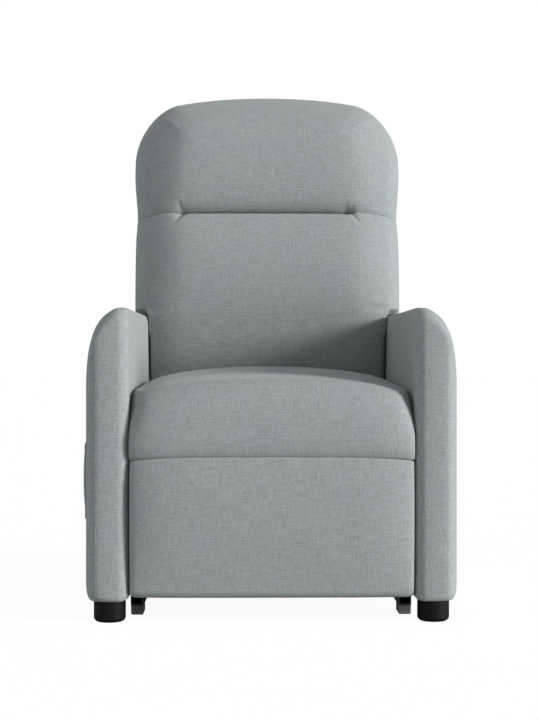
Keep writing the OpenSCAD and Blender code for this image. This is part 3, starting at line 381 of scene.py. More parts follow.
# Across an arm, u runs from its inner face at 0 to its outer face at ARM_WIDTH. Within EDGE of
# either face the outline is drawn in, by up to DRAW.
SEAM_INNER = 8.0
SEAM_OUTER = 60.0
INNER_EDGE = 20.0
INNER_DRAW = 22.0
OUTER_EDGE = 14.0
OUTER_DRAW = 10.0
# The top falls away to the outside, and lies a little hollow along its middle
TOP_SINK = 1.5
FALL_WIDE = 67.0
FALL_DEEP = 136.0
HOLLOW_AT = 40.0
HOLLOW_WIDE = 15.0
HOLLOW_DEEP = 2.4
# The front swells between its seams, and rounds back at its outer corner. The lower outer
# edge rounds under, and the bottom rises by a share of the inset
FRONT_INSET = 7.0
FRONT_CROWN = 1.5
FRONT_MIDDLE = 36.0
FRONT_HALF = 24.0
CORNER_ACROSS = 27.0
CORNER_BACK = 62.0
UNDER_ROUND = 17.0
UNDER_SHARE = 0.4
# Roundings seen from the side: at the top front, the top rear, and along the bottom
ARM_NOSE = 30.0
ARM_TAIL = 120.0
ARM_HEEL = 9.0
HEEL_START = 30.0
HEEL_WIDE = 50.0
# Toward the front, the outer side is drawn in
FRONT_DRAW = 2.5
FRONT_DRAW_REACH = 150.0
# The outer panel is set in at its edges, and the inner one in its middle. WIDE is how far into
# the panel the change reaches, as a share of the way to its middle.
OUTER_PANEL = 0.6
OUTER_PANEL_WIDE = 0.4
INNER_PANEL = 0.5
INNER_PANEL_WIDE = 0.3


def arm_top(u):
    """Height of the arm's top: whichever of the outer fall and the inner shoulder is lower."""
    fall = (FALL_DEEP * quarter((u - ARM_WIDTH + FALL_WIDE) / FALL_WIDE)
            + groove(u - HOLLOW_AT, HOLLOW_DEEP, HOLLOW_WIDE))
    shoulder = SHOULDER_DROP * quarter((SHOULDER_WIDE - u) / SHOULDER_WIDE)
    return ARM_HEIGHT - TOP_SINK - np.maximum(fall, shoulder) - arm_seams(u)


def arm_seams(u):
    """The two sewn edges of the arm's middle panel."""
    return (groove(u - SEAM_INNER, deep=0.35, wide=1.1)
            + groove(u - SEAM_OUTER, deep=0.25, wide=1.2))


def arm_inset(u):
    """How far the arm's skin lies inside its box at u: its two edges and its seams."""
    inner = INNER_DRAW * quarter(1 - u / INNER_EDGE)
    outer = OUTER_DRAW * quarter(1 - (ARM_WIDTH - u) / OUTER_EDGE)
    return inner + outer + arm_seams(u)


def arm_crown(u):
    """The front panel's own crown between its two seams."""
    return FRONT_CROWN * (1 - clamp01(np.abs(u - FRONT_MIDDLE) / FRONT_HALF) ** 2)


def arm_ring(u):
    """The arm's outline [f, z] in the upright plane at u, from its lower front round its top."""
    inset = float(arm_inset(u))
    corner = CORNER_BACK * blunt_quarter((u - ARM_WIDTH + CORNER_ACROSS) / CORNER_ACROSS)
    set_back = max(inset, corner + float(arm_seams(u)))
    front = ARM_FRONT - FRONT_INSET + float(arm_crown(u)) - set_back
    rear = -ARM_REAR + inset
    under = UNDER_ROUND * quarter((u - ARM_WIDTH + UNDER_ROUND) / UNDER_ROUND)
    low = FOOT_HEIGHT + UNDER_SHARE * inset + under
    high = float(arm_top(u))
    heel = ARM_HEEL + ARM_HEEL * smooth((u - HEEL_START) / HEEL_WIDE)
    a = arc([front - heel, low + heel], heel, -90, 0, 6)
    b = arc([front - ARM_NOSE, high - ARM_NOSE], ARM_NOSE, 0, 90, 18)
    c = arc([rear + ARM_TAIL, high - ARM_TAIL], ARM_TAIL, 90, 180, 16)
    d = arc([rear + heel, low + heel], heel, 180, 270, 6)
    return np.concatenate([
        a, line(a[-1], b[0], 36), b, line(b[-1], c[0], 40), c, line(c[-1], d[0], 22),
        d, line(d[-1], a[0], 40),
    ])


def arm_stations():
    """Where across the arm its rings stand, closest at its edges and seams."""
    edge_in = INNER_EDGE * (1 - np.cos(np.linspace(0, np.pi / 2, 17)))
    near_seam = SEAM_INNER + np.linspace(-2.4, 2.4, 7)
    middle = np.linspace(19, SEAM_OUTER - 4, 17)
    second = SEAM_OUTER + np.linspace(-3, 3, 9)
    edge_out = ARM_WIDTH - 20 * (1 - np.sin(np.linspace(0.1, np.pi / 2, 22)))
    stations = np.sort(np.concatenate([edge_in, near_seam, middle, second, edge_out]))
    return stations[np.concatenate([[True], np.diff(stations) > 0.05])]


def make_arm(side):
    """An arm's cover, made as the right one and mirrored where side is -1."""
    us = arm_stations()
    profile = np.stack([arm_ring(u) for u in us])
    across = np.broadcast_to((ARM_INNER + us)[:, None], profile.shape[:2])
    rings = np.stack([across, -profile[..., 0], profile[..., 1]], -1)
    along = arc_length(rings)
    points, faces, depth = loft(rings, 26)
    outward = clamp01((points[:, 0] - ARM_INNER) / ARM_WIDTH)
    behind_front = ARM_FRONT + points[:, 1]
    points[:, 0] -= toward_edge(behind_front, FRONT_DRAW, FRONT_DRAW_REACH) * outward**2
    cloth = np.zeros((len(points), 2))
    count = rings.shape[0] * rings.shape[1]
    cloth[:count, 0] = np.repeat(us, rings.shape[1])
    cloth[:count, 1] = along.ravel()
    # Past the seams the panels are cut in the chair's own upright plane
    panel = np.ones(len(points), bool)
    panel[:count] = (cloth[:count, 0] < SEAM_INNER) | (cloth[:count, 0] > SEAM_OUTER)
    cloth[panel, 0] = points[panel, 1] + CUT_ARM_PANELS
    cloth[panel, 1] = points[panel, 2]
    outer_cap = (depth > 0) & (points[:, 0] > ARM_INNER + ARM_WIDTH / 2)
    inner_cap = (depth > 0) & ~outer_cap
    points[outer_cap, 0] += OUTER_PANEL * smooth(depth[outer_cap] / OUTER_PANEL_WIDE) - OUTER_PANEL
    points[inner_cap, 0] += INNER_PANEL * smooth(depth[inner_cap] / INNER_PANEL_WIDE)
    if side < 0:
        dent_for_pocket(points, outer_cap)
        points[:, 0] *= -1
        faces = [face[::-1] for face in faces]
        cloth[:, 0] += CUT_LEFT_ARM
    name = "left_arm" if side < 0 else "right_arm"
    make_piece(name + "_cover", points, faces, cloth, "chassis", [name])


POCKET_F = 260.0
POCKET_LENGTH = 210.0
POCKET_BOTTOM = 189.0
POCKET_TOP = 331.0
POCKET_BULGE = 12.0
POCKET_WALL = 1.6
POCKET_ROOM = 0.05
DENT_DEEP = 12.8
DENT_MARGIN = 4.0
DENT_SLOPE = 16.0
DENT_RUN_OUT = 44.0


def dent_for_pocket(points, chosen):
    """The outer panel gives way behind the pocket and runs out above its mouth."""
    f, z = -points[chosen, 1], points[chosen, 2]
    along = smooth((POCKET_LENGTH / 2 - DENT_MARGIN - np.abs(f - POCKET_F)) / DENT_SLOPE)
    bottom = smooth((z - POCKET_BOTTOM - DENT_MARGIN) / DENT_SLOPE)
    top = 1 - smooth((z - POCKET_TOP - DENT_MARGIN) / DENT_RUN_OUT)
    points[chosen, 0] -= DENT_DEEP * along * (bottom * top)


def pocket_swell(f, z):
    """How far the side pocket stands off the arm: fullest low down, drawn in at its mouth.
    The powers square the pouch off, so that it is full close to its sewn sides."""
    middle = clamp01(1 - (np.abs(f - POCKET_F) / (POCKET_LENGTH / 2)) ** 2.4)
    t = clamp01((z - POCKET_BOTTOM) / (POCKET_TOP - POCKET_BOTTOM))
    body = POCKET_BULGE * middle**0.9 * np.sin(np.pi * t**0.86 * 0.84 + 0.07) ** 0.55
    below = POCKET_TOP - z
    hem = groove(below - 7, deep=1.1, wide=5)
    hem_stitch = groove(below - 16, deep=0.5, wide=1.4)
    border_stitch = groove(middle - 0.18, deep=0.5, wide=0.05) * (t < 0.9)
    swell = body + (hem - hem_stitch) * np.sqrt(middle) - border_stitch
    return np.maximum(POCKET_WALL, swell)


def make_pocket():
    """A sewn pouch: its skin, the lining within it, and the folded rim between them."""
    rows, cols = 45, 61
    z = np.linspace(POCKET_BOTTOM, POCKET_TOP, rows)
    reach = np.sin(np.linspace(-np.pi / 2, np.pi / 2, cols)) * POCKET_LENGTH / 2
    f, z = np.meshgrid(POCKET_F + reach, z)
    out = ARM_OUTER + POCKET_ROOM + pocket_swell(f, z)
    skins = [np.stack([-(out - drop), -f, z], -1).reshape(-1, 3) for drop in (0.0, POCKET_WALL)]
    cloth = np.tile(np.stack([f.ravel() + CUT_POCKET, z.ravel()], 1), (2, 1))
    faces = sheet_faces(rows, cols, flip=True)
    piece = make_piece("side_pocket_cover", np.concatenate(skins), faces, cloth, "chassis",
                       ["side_pocket"])
    recalculate(piece)


# ---------------------------------------------------------------- seat and footrest pad


SIDE_EDGE = 14.0
STATION_STEP = 8.0


def across_stations(half):
    """Where across a cushion its rings stand, closest at its side edges."""
    rim = half - SIDE_EDGE * (1 - np.sin(np.linspace(0, np.pi / 2, 15)))
    middle = np.linspace(0, rim[0], int(rim[0] / STATION_STEP) + 1)[:-1]
    right = np.concatenate([middle, rim])
    return np.concatenate([-right[:0:-1], right])


def round_corner(front, top, corner, steps):
    """A corner [depth, height, power] from its top to its front: an ellipse at power 2, and
    flatter below it."""
    depth, height, power = corner
    a = np.linspace(0, np.pi / 2, steps + 1)
    return np.stack([
        front - depth * (1 - np.sin(a) ** (2 / power)),
        top - height * (1 - np.cos(a) ** (2 / power)),
    ], 1)


def edge_tuck(x, half):
    """0 over most of a cushion, rising to 1 at its sewn side edge."""
    return float(blunt_quarter((abs(x) - half + SIDE_EDGE) / SIDE_EDGE))


SEAT_HALF = ARM_INNER - 1.0
SEAT_REAR = 92.0
SEAT_BOTTOM = 398.0
SEAT_WRAP = 366.0
# It reaches back to the back's face at the waist, less a little, and as round as that face
REAR_ROUND = 0.3
REAR_SHORT = 10.0
REAR_ROOM = 2.0
REAR_CORNER = 13.0
# Crown from side to side, and from its summit forward and back
SEAT_CROWN = 24.0
CROWN_POWER = 2.1
SEAT_SUMMIT = -38.0
SEAT_FALL = 19.4
REAR_FALL_START = SEAT_SUMMIT - 40.0
REAR_FALL_WIDE = 60.0
REAR_FALL = 9.0
REAR_DIP = 10.0
# Toward its sides the top drops and the front goes back, by DEEP over about REACH
SIDE_DROP_DEEP = 15.0
SIDE_DROP_REACH = 28.0
SIDE_SET_DEEP = 16.0
SIDE_SET_REACH = 38.0
# At its sewn side edge a cushion's top drops by DROP more, and its front goes back by SET
TUCK_DROP = 7.0
TUCK_SET = 4.0
# The front's upper corner [depth, height, power], in the middle and at the sides
SEAT_MIDDLE_CORNER = np.array([47, 97, 2.05])
SEAT_SIDE_CORNER = np.array([165, 100, 1.85])
CORNER_START = 32.0
CORNER_CHANGE = 31.0
FALL_EASE = 0.7
LIP_DEEP = 13.0
LIP_HIGH = 44.0
# Room between seat and pad about the swing, 0.5 in all, and more at their tucked edges
SEAT_ROOM = 0.2
PAD_ROOM = 0.3
TUCK_ROOM = 1.5


def seat_rear(x):
    """The seat reaches back to the face of the back, which is rounded at its sides."""
    gap = BACK_HALF - abs(x)
    face = WAIST * (1 - REAR_ROUND * (abs(x) / BACK_HALF) ** 4) - REAR_SHORT
    face = face + ROLL_DEEP * quarter(1 - gap / ROLL_WIDE)
    return -(BACK_FACE + float(face) * np.cos(LEAN)) + REAR_ROOM


def seat_ring(x):
    """The seat's outline [f, z] in the upright plane at x: along its underside, up its front,
    and back over its top."""
    gap = SEAT_HALF - abs(x)
    side = clamp01((CORNER_START - gap) / CORNER_CHANGE) ** 2.4
    tuck = edge_tuck(x, SEAT_HALF)
    drop = toward_edge(gap, SIDE_DROP_DEEP, SIDE_DROP_REACH)
    crown = SEAT_CROWN * (abs(x) / ARM_INNER) ** CROWN_POWER + drop + TUCK_DROP * tuck
    front = SEAT_FRONT - toward_edge(gap, SIDE_SET_DEEP, SIDE_SET_REACH) - TUCK_SET * tuck
    shape = SEAT_MIDDLE_CORNER + side * (SEAT_SIDE_CORNER - SEAT_MIDDLE_CORNER)
    reach = SEAT_FRONT - SEAT_MIDDLE_CORNER[0] - SEAT_SUMMIT

    def top(f):
        ahead = np.maximum(0, f - SEAT_SUMMIT) / reach
        behind = np.maximum(0, REAR_FALL_START - f) / REAR_FALL_WIDE
        fall = SEAT_FALL * (1 - FALL_EASE * side) * ahead**2
        return SEAT_HEIGHT - crown - fall - REAR_FALL * behind**2

    corner = round_corner(front, top(front - shape[0]), shape, 40)
    roll = SWING_RADIUS - SEAT_ROOM - TUCK_ROOM * tuck
    lip_f = front - LIP_DEEP
    lip_z = SWING_CENTRE[1] - np.sqrt(roll**2 - (lip_f - SWING_CENTRE[0]) ** 2)
    lip_top = min(lip_z + LIP_HIGH, corner[-1, 1] - 2)
    a = np.linspace(0, np.pi / 2, 13)
    lip = np.stack([front - LIP_DEEP * (1 - np.cos(a)),
                    lip_top - (lip_top - lip_z) * np.sin(a)], 1)
    start = -np.degrees(np.arccos((lip_f - SWING_CENTRE[0]) / roll))
    under = arc(SWING_CENTRE, roll, start, -134, 14)[1:]
    rear = seat_rear(x)
    f = np.linspace(rear + REAR_CORNER, corner[0, 0], 40)[:-1]
    flat = np.stack([f, top(f)], 1)
    flat[:, 1] -= groove(f - rear - REAR_CORNER, REAR_DIP, wide=10)
    below = np.array([SEAT_WRAP, SEAT_BOTTOM])
    low_rear = np.array([-SEAT_REAR, SEAT_BOTTOM])
    shoulder = flat[0, 1]
    rise = [low_rear, [-SEAT_REAR - 4, SEAT_BOTTOM + 10], [rear + 6, SEAT_BOTTOM + 24],
            [rear + 1, SEAT_BOTTOM + 38], [rear + 3, shoulder - 8], [rear + 7, shoulder - 3]]
    ring = np.concatenate([
        rise, flat, corner, line(corner[-1], lip[0], 4), lip, under, line(under[-1], below, 5),
        [below], line(below, low_rear, 14),
    ])
    return ring[::-1]


def make_cushion(name, half, ring_at, body, node, cloth_start):
    """A padded cushion lofted across the chair over its rings, with capped side ends."""
    xs = across_stations(half)
    profile = np.stack([ring_at(x) for x in xs])
    across = np.broadcast_to(xs[:, None], profile.shape[:2])
    rings = np.stack([across, -profile[..., 0], profile[..., 1]], -1)
    points, faces, _ = loft(rings, 8)
    along = arc_length(rings[len(xs) // 2])
    cloth = np.zeros((len(points), 2))
    count = rings.shape[0] * rings.shape[1]
    cloth[:, 0] = points[:, 0]
    cloth[:count, 1] = np.tile(along, len(xs)) + cloth_start
    cloth[count:, 1] = points[count:, 2]
    piece = make_piece(name, points, faces, cloth, body, [node])
    recalculate(piece)


PAD_HALF = ARM_INNER - 2.4
PAD_BOTTOM = 47.0
PAD_FRONT = 455.0
BOARD_FRONT = 378.0
PAD_SIDE_DEEP = 18.0
PAD_SIDE_REACH = 44.0
# Its face is fullest at PAD_FULL. Above, it goes back by its brow, and below, by LOWER_DRAW,
# which is less at the sides
PAD_FULL = 235.0
PAD_BROW = 5.5
LOWER_DRAW = 16.0
LOWER_EASE = 9.0
LOWER_EASE_REACH = 40.0
SOLE = 17.0


def pad_ring(x):
    """The pad's outline [f, z] in the upright plane at x: down its rear, along its sole, up
    its face, and back over its top."""
    gap = PAD_HALF - abs(x)
    tuck = edge_tuck(x, PAD_HALF)
    front = PAD_FRONT - toward_edge(gap, PAD_SIDE_DEEP, PAD_SIDE_REACH) - TUCK_SET * tuck
    low = PAD_BOTTOM + TUCK_SET * tuck
    rim = SWING_RADIUS + PAD_ROOM + TUCK_ROOM * tuck
    brow_f = front - 2 * PAD_BROW
    over = -np.degrees(np.arccos((brow_f - SWING_CENTRE[0]) / rim))
    top = arc(SWING_CENTRE, rim, -118, over, 12)
    brow = round_corner(brow_f + PAD_BROW, top[-1, 1], [PAD_BROW, PAD_BROW, 2.0], 8)[1:]
    z = np.linspace(brow[-1, 1], low + SOLE, 44)[1:]
    upper = PAD_BROW * clamp01((z - PAD_FULL) / (brow[-1, 1] - PAD_FULL)) ** 2
    drawn = LOWER_DRAW - toward_edge(gap, LOWER_EASE, LOWER_EASE_REACH)
    lower = drawn * clamp01((PAD_FULL - z) / (PAD_FULL - low - SOLE)) ** 2
    face = np.stack([front - upper - lower, z], 1)
    sole = arc([face[-1, 0] - SOLE, low + SOLE], SOLE, -5, -90, 12)
    back_low = np.array([BOARD_FRONT, low + 12])
    back_top = np.array([BOARD_FRONT, top[0, 1]])
    ring = np.concatenate([
        [back_top], top[1:], brow, face, sole[1:], line(sole[-1], [BOARD_FRONT + 14, low], 5),
        [[BOARD_FRONT + 14, low], [BOARD_FRONT + 4, low + 3]],
        [back_low], line(back_low, back_top, 12),
    ])
    return ring[::-1]


# ---------------------------------------------------------------- back


def leaned(points):
    """Points [x, y, z] of the upright back, in the chair's frame."""
    x, y, z = points[:, 0], points[:, 1], points[:, 2]
    return np.stack([
        x,
        BACK_FACE + y * np.cos(LEAN) + z * np.sin(LEAN),
        SEAT_HEIGHT - y * np.sin(LEAN) + z * np.cos(LEAN),
    ], 1)


HINGE = np.array([115.1, -151.4])
OVERHANG = 296.0


def overhang_low(y):
    """Lowest z at depth y that swings clear over the arms when the back turns on its hinge."""
    return HINGE[1] + np.sqrt(OVERHANG**2 - (y - HINGE[0]) ** 2)


# Outline: widening by FLARE above the tuft and drawn in at it, with a crowned top edge of
# radius CROWN / 2 and upper corners [CORNER_WIDE, CORNER_DROP, CORNER_POWER]
FLARE = 4.6
FLARE_START = 380.0
FLARE_WIDE = 90.0
TUFT_DRAW = 2.4
CORNER_WIDE = 95.2
CORNER_DROP = 127.2
CORNER_POWER = 1.83
CROWN = 1700.0
# Where it widens from between the arms to lie over them
SHOULDER_LOW = 113.0
SHOULDER_HIGH = 26.0
CLIMB_LIMIT = 0.97
OVER_START = 137.0
OVER_WIDE = 11.0
LOW_CORNER_DEEP = 34.0
LOW_CORNER_HIGH = 44.0


def half_at(z):
    """Half width of the back above the arms: drawn in at the tuft and fullest above it."""
    flare = FLARE * smooth((z - FLARE_START) / FLARE_WIDE)
    return BACK_HALF + flare - groove(z - TUFT - 10, TUFT_DRAW, wide=34)


def corner_points(steps):
    """The outline's upper right corner, from its side to its top."""
    a = np.linspace(np.pi / 2, 0, steps)
    t = np.sin(a) ** (2 / CORNER_POWER)
    x = BACK_HALF + FLARE - CORNER_WIDE + CORNER_WIDE * t
    z = BACK_TOP - x * x / CROWN - CORNER_DROP * (1 - np.cos(a) ** (2 / CORNER_POWER))
    return np.stack([x, z], 1)


def side_x(z):
    """Half width of the back at z. Between the arms it is narrow, and then it lies over them."""
    climb = np.minimum((z - SHOULDER_LOW) / SHOULDER_HIGH, CLIMB_LIMIT)
    beside = BACK_NARROW + SHOULDER_WIDE * quarter(climb)
    over = smooth((z - OVER_START) / OVER_WIDE)
    low_corner = LOW_CORNER_DEEP * quarter((BACK_LOW + LOW_CORNER_HIGH - z) / LOW_CORNER_HIGH)
    return beside * (1 - over) + half_at(z) * over - low_corner


def wide_edge(low, end, steps):
    """The back's edge as wide as it is above the arms, from z = low round to x = end."""
    corner = corner_points(steps)
    z = np.linspace(low, corner[0, 1], 3 * steps)[:-1]
    x = np.linspace(corner[-1, 0], end, steps)[1:]
    side = np.stack([half_at(z), z], 1)
    return np.concatenate([side, corner, np.stack([x, BACK_TOP - x * x / CROWN], 1)])


# The back's mesh: a block of rows and columns, close together at the arms' shoulders and at
# the tuft, and STRIP lines around it. Above TURN the block's rows fan out to the corner.
BLOCK_HALF = 204.0
BLOCK_TOP = 560.0
TURN = 420.0
ROWS = np.unique(np.round(np.concatenate([
    np.linspace(BACK_LOW, 70, 26), np.linspace(70, 156, 34), np.linspace(156, 306, 30),
    np.linspace(306, 342, 15), TUFT + np.linspace(-10, 16, 27), np.linspace(368, 400, 13),
    np.linspace(400, BLOCK_TOP, 27),
]), 3))
COLS = np.unique(np.round(np.concatenate([
    np.linspace(-BLOCK_HALF, -158, 20), np.linspace(-158, 154, 53),
    np.linspace(154, BLOCK_HALF, 21),
]), 3))
STRIP = 26


def back_grid():
    """The back seen from its front: a block of rows and columns, and a strip of lines that
    runs from the block's sides and top to the outline. Returns [x, z] points, quads, the
    outline's indices from lower left round to lower right, and the bottom edge's indices."""
    corner_z = corner_points(2)[0, 1]
    z = np.linspace(BACK_LOW, corner_z - 4, 1300)
    side = np.stack([side_x(z), z], 1)
    right = np.concatenate([side, wide_edge(corner_z - 3.9, 0, 60)])
    length = arc_length(right)
    turn_at = length[np.argmin(np.abs(right[:, 0] - BLOCK_HALF - right[:, 1] + BLOCK_TOP))]
    side_len = np.interp(np.minimum(ROWS, TURN), z, length[: len(z)])
    over = clamp01((ROWS - TURN) / (BLOCK_TOP - TURN))
    extra = turn_at - np.interp(TURN, z, length[: len(z)]) - (BLOCK_TOP - TURN)
    side_len = side_len + (BLOCK_TOP - TURN) * over + extra * over**1.6
    top_len = length[-1] - (length[-1] - turn_at) * np.abs(COLS) / BLOCK_HALF

    def at(lengths):
        return np.stack([np.interp(lengths, length, right[:, k]) for k in (0, 1)], 1)

    side = at(side_len)
    top = at(top_len)
    top[:, 0] *= np.where(COLS < 0, -1, 1)
    rim = np.concatenate([side * [-1, 1], top[1:-1], side[::-1]])
    n, m = len(ROWS), len(COLS)
    gx, gz = np.meshgrid(COLS, ROWS)
    block = np.stack([gx.ravel(), gz.ravel()], 1)
    index = np.arange(n * m).reshape(n, m)
    edge = np.concatenate([index[:, 0], index[-1, 1:-1], index[::-1, -1]])
    share = np.sin(np.linspace(0, np.pi / 2, STRIP + 1))[1:]
    strip = block[edge][None] + (rim - block[edge])[None] * share[:, None, None]
    lines = n * m + np.arange(STRIP * len(edge)).reshape(STRIP, -1)
    ring = np.concatenate([edge[None], lines])
    faces = grid_faces(n, m) + quads_between(ring)
    bottom = np.concatenate([ring[::-1, 0], index[0, 1:-1], ring[:, -1]])
    return np.concatenate([block, strip.reshape(-1, 2)]), faces, ring[-1], bottom


def distance_to(points, edge):
    """Distance of each point from a line of points, square to the line at its nearest point."""
    tangent = np.gradient(edge, axis=0)
    tangent /= np.linalg.norm(tangent, axis=1)[:, None]
    gap = np.empty(len(points))
    batch = 2000
    for start in range(0, len(points), batch):
        part = slice(start, start + batch)
        offset = points[part, None] - edge[None]
        nearest = np.einsum("ijk,ijk->ij", offset, offset).argmin(1)
        chosen = offset[np.arange(len(nearest)), nearest]
        t = tangent[nearest]
        gap[part] = np.abs(chosen[:, 0] * t[:, 1] - chosen[:, 1] * t[:, 0])
    return gap


CREASE_LEAD = 0.25
CREASE_RISE = 0.3
CREASE_FADE = 0.8


def crease(x, s, start, end, width):
    """A fold from start, where it is deepest, to end, where it has run out."""
    start, end = np.array(start), np.array(end)
    run = end - start
    offset = np.stack([x - start[0], s - start[1]], 1)
    along = offset @ run / (run @ run)
    across = (offset[:, 0] * run[1] - offset[:, 1] * run[0]) / np.linalg.norm(run)
    fade = smooth((1 - along) / CREASE_FADE)
    rise = smooth((along + CREASE_LEAD) / CREASE_RISE)
    return bump(across / width) * fade * rise


TUFT_LEFT = -189.0
TUFT_RIGHT = 180.0
# The channel: a slope above the seam and a cut at it, and a lip and a wall below it
SLOPE_DEEP = 12.0
CUT_DEEP = 14.0
CUT_WIDE = 2.6
CHANNEL_LIP = 8.0
WALL_DEEP = 18.0
WALL_WIDE = 2.0
# How it runs out past each end, in two steps: share, start and width
LEFT_END = [(0.65, -3, 7), (0.35, 0, 32)]
RIGHT_END = [(0.55, -4, 9), (0.45, 0, 26)]
# Folds at the channel's ends: depth, start [x, s], end [x, s] and width
FOLDS = [
    (4.5, [TUFT_LEFT, 0], [TUFT_LEFT - 27, -36], 4.5),
    (4.0, [TUFT_RIGHT + 6, 0], [TUFT_RIGHT + 32, -36], 4.5),
    (4.5, [TUFT_LEFT - 2, 2], [TUFT_LEFT - 14, 34], 5.0),
    (2.4, [TUFT_RIGHT + 4, 2], [TUFT_RIGHT + 20, 28], 5.5),
]
# Dimples that the folds start from: depth, centre [x, s], width and height
DIMPLES = [
    (7.0, [TUFT_LEFT - 5, 0.0], 12.0, 9.0),
    (6.0, [TUFT_RIGHT - 2, 3.0], 11.0, 9.0),
]


def run_out(past, steps):
    """What is left of the channel at a distance past its end."""
    left = 1.0
    for share, start, width in steps:
        left = left - share * smooth((past - start) / width)
    return left


def tuft_depth(x, s):
    """Depth, at s above the tuft, of the sewn channel between the pillows and of its ends."""
    ends = run_out(TUFT_LEFT - x, LEFT_END) * run_out(x - TUFT_RIGHT, RIGHT_END)
    over, under = np.maximum(s, 0), np.maximum(-s, 0)
    above = toward_edge(over, SLOPE_DEEP, SLOPE_DEEP) + groove(s, CUT_DEEP, CUT_WIDE)
    lip = CHANNEL_LIP * quarter(1 - under / CHANNEL_LIP)
    below = lip + toward_edge(under, WALL_DEEP, WALL_WIDE)
    channel = np.where(s > 0, above, below) * ends
    seam = groove(s, deep=1.2, wide=1.6) * (1 - ends)
    folds = sum(deep * crease(x, s, start, end, wide) for deep, start, end, wide in FOLDS)
    dimples = sum(deep * bump((x - centre[0]) / wide) * bump((s - centre[1]) / high)
                  for deep, centre, wide, high in DIMPLES)
    return channel + seam + folds + dimples


# The pillows' swell. The upper one stands UPPER_START proud at the tuft and UPPER_CROWN proud
# UPPER_HIGH above it, and rolls over at the top. The lower one stands LOWER_CROWN proud at
# LOWER_SUMMIT under the tuft, is round above and below that, and from LOWER_TURN further down
# runs straight to the waist.
TOP_WIDE = 172.0
TOP_DEEP = 115.0
UPPER_CROWN = 48.0
UPPER_START = 6.0
UPPER_HIGH = 140.0
LOWER_CROWN = 38.0
LOWER_SUMMIT = 80.0
ROUND_ABOVE = 240.0
ROUND_BELOW = 300.0
LOWER_TURN = 160.0
# About this height on the middle line, the roll changes from the sides' to the top's
ROLL_CENTRE = 380.0
# The face falls back a little toward its sides, and is tight between the arms
SIDE_FALL = 10.0
SIDE_REACH = 160.0
SIDE_POWER = 2.2
SIDE_SHARE = 0.45
TIGHT_DEEP = 20.0
TIGHT_WIDE = 12.0
TIGHT_TOP = 96.0
TIGHT_FADE = 20.0
SMOOTHING_ROUNDS = 90
SMOOTHING_START = 25.0


def sagitta(radius, run):
    """How far a circle has fallen away at run from its summit."""
    return radius - np.sqrt(radius**2 - run**2)


def pillow_profile(s, z, x):
    """Swell of the two pillows up the middle of the back, and the waist below the lower one."""
    crown_line = BACK_TOP - x * x / CROWN
    near_top = clamp01(1 - (crown_line - z) / TOP_WIDE)
    start = (UPPER_CROWN - UPPER_START) * quarter(1 - s / UPPER_HIGH)
    upper = -UPPER_CROWN * (1 - near_top**2) + start
    down = -s - LOWER_SUMMIT
    above = sagitta(ROUND_ABOVE, np.clip(down, -100, 0))
    turned = sagitta(ROUND_BELOW, np.clip(down, 0, LOWER_TURN))
    t = clamp01((down - LOWER_TURN) / (TUFT - LOWER_SUMMIT - LOWER_TURN))
    reach = WAIST + LOWER_CROWN - sagitta(ROUND_BELOW, LOWER_TURN)
    turned = turned + reach * t
    return np.where(s > 0, upper, -LOWER_CROWN + above + turned)


def back_front(points, faces):
    """Depth y of the cushion's front at [x, z]: two pillows on a face that rolls away."""
    x, z = points[:, 0], points[:, 1]
    mirrored = np.stack([np.abs(x), z], 1)
    # The edge goes on below the back and past its middle, so that its ends are never nearest
    gap = distance_to(mirrored, wide_edge(-400, -60, 160))
    up = smooth(np.arctan2(np.maximum(z - ROLL_CENTRE, 0), np.abs(x) + 1) / (np.pi / 2))
    wide = ROLL_WIDE + (TOP_WIDE - ROLL_WIDE) * up
    deep = ROLL_DEEP + (TOP_DEEP - ROLL_DEEP) * up
    side_fall = SIDE_FALL * clamp01(1 - gap / SIDE_REACH) ** SIDE_POWER
    roll = deep * quarter(1 - gap / wide) + side_fall
    share = smooth((gap - SMOOTHING_START) / SMOOTHING_START)
    roll = relaxed(roll, points, faces, share, SMOOTHING_ROUNDS)
    s = z - TUFT
    middle = 1 - SIDE_SHARE * (np.minimum(np.abs(x), BACK_HALF) / BACK_HALF) ** 4
    swell = pillow_profile(s, z, x)
    y = roll + np.where(swell < 0, swell * middle, swell)
    y = y + tuft_depth(x, s) * middle
    between_arms = (np.abs(x) <= BACK_NARROW + 0.1) * smooth((TIGHT_TOP - z) / TIGHT_FADE)
    tight = TIGHT_DEEP * quarter(1 - (BACK_NARROW - np.abs(x)) / TIGHT_WIDE) * between_arms
    y = y + tight + np.maximum(0, -z) * np.tan(LEAN)
    return np.minimum(y, BACK_DEPTH - 1)


def relaxed(values, points, faces, share, rounds):
    """Values on a mesh's points, averaged with their neighbours' by a share of each. The near
    neighbours count for more, so that what is straight stays so on an uneven mesh."""
    quads = np.array(faces)
    pairs = np.concatenate([quads[:, [k, (k + 1) % 4]] for k in range(4)])
    pairs = np.concatenate([pairs, pairs[:, ::-1]])
    weight = 1 / np.linalg.norm(points[pairs[:, 0]] - points[pairs[:, 1]], axis=1)
    total = np.bincount(pairs[:, 0], weight, len(values))
    for _ in range(rounds):
        around = np.bincount(pairs[:, 0], weight * values[pairs[:, 1]], len(values)) / total
        values = values + share * (around - values)
    return values


FULL_OVER = 276.0  # beyond this |x| the swing alone says how low the back may hang
SHOULDER_ROOM = 2.5


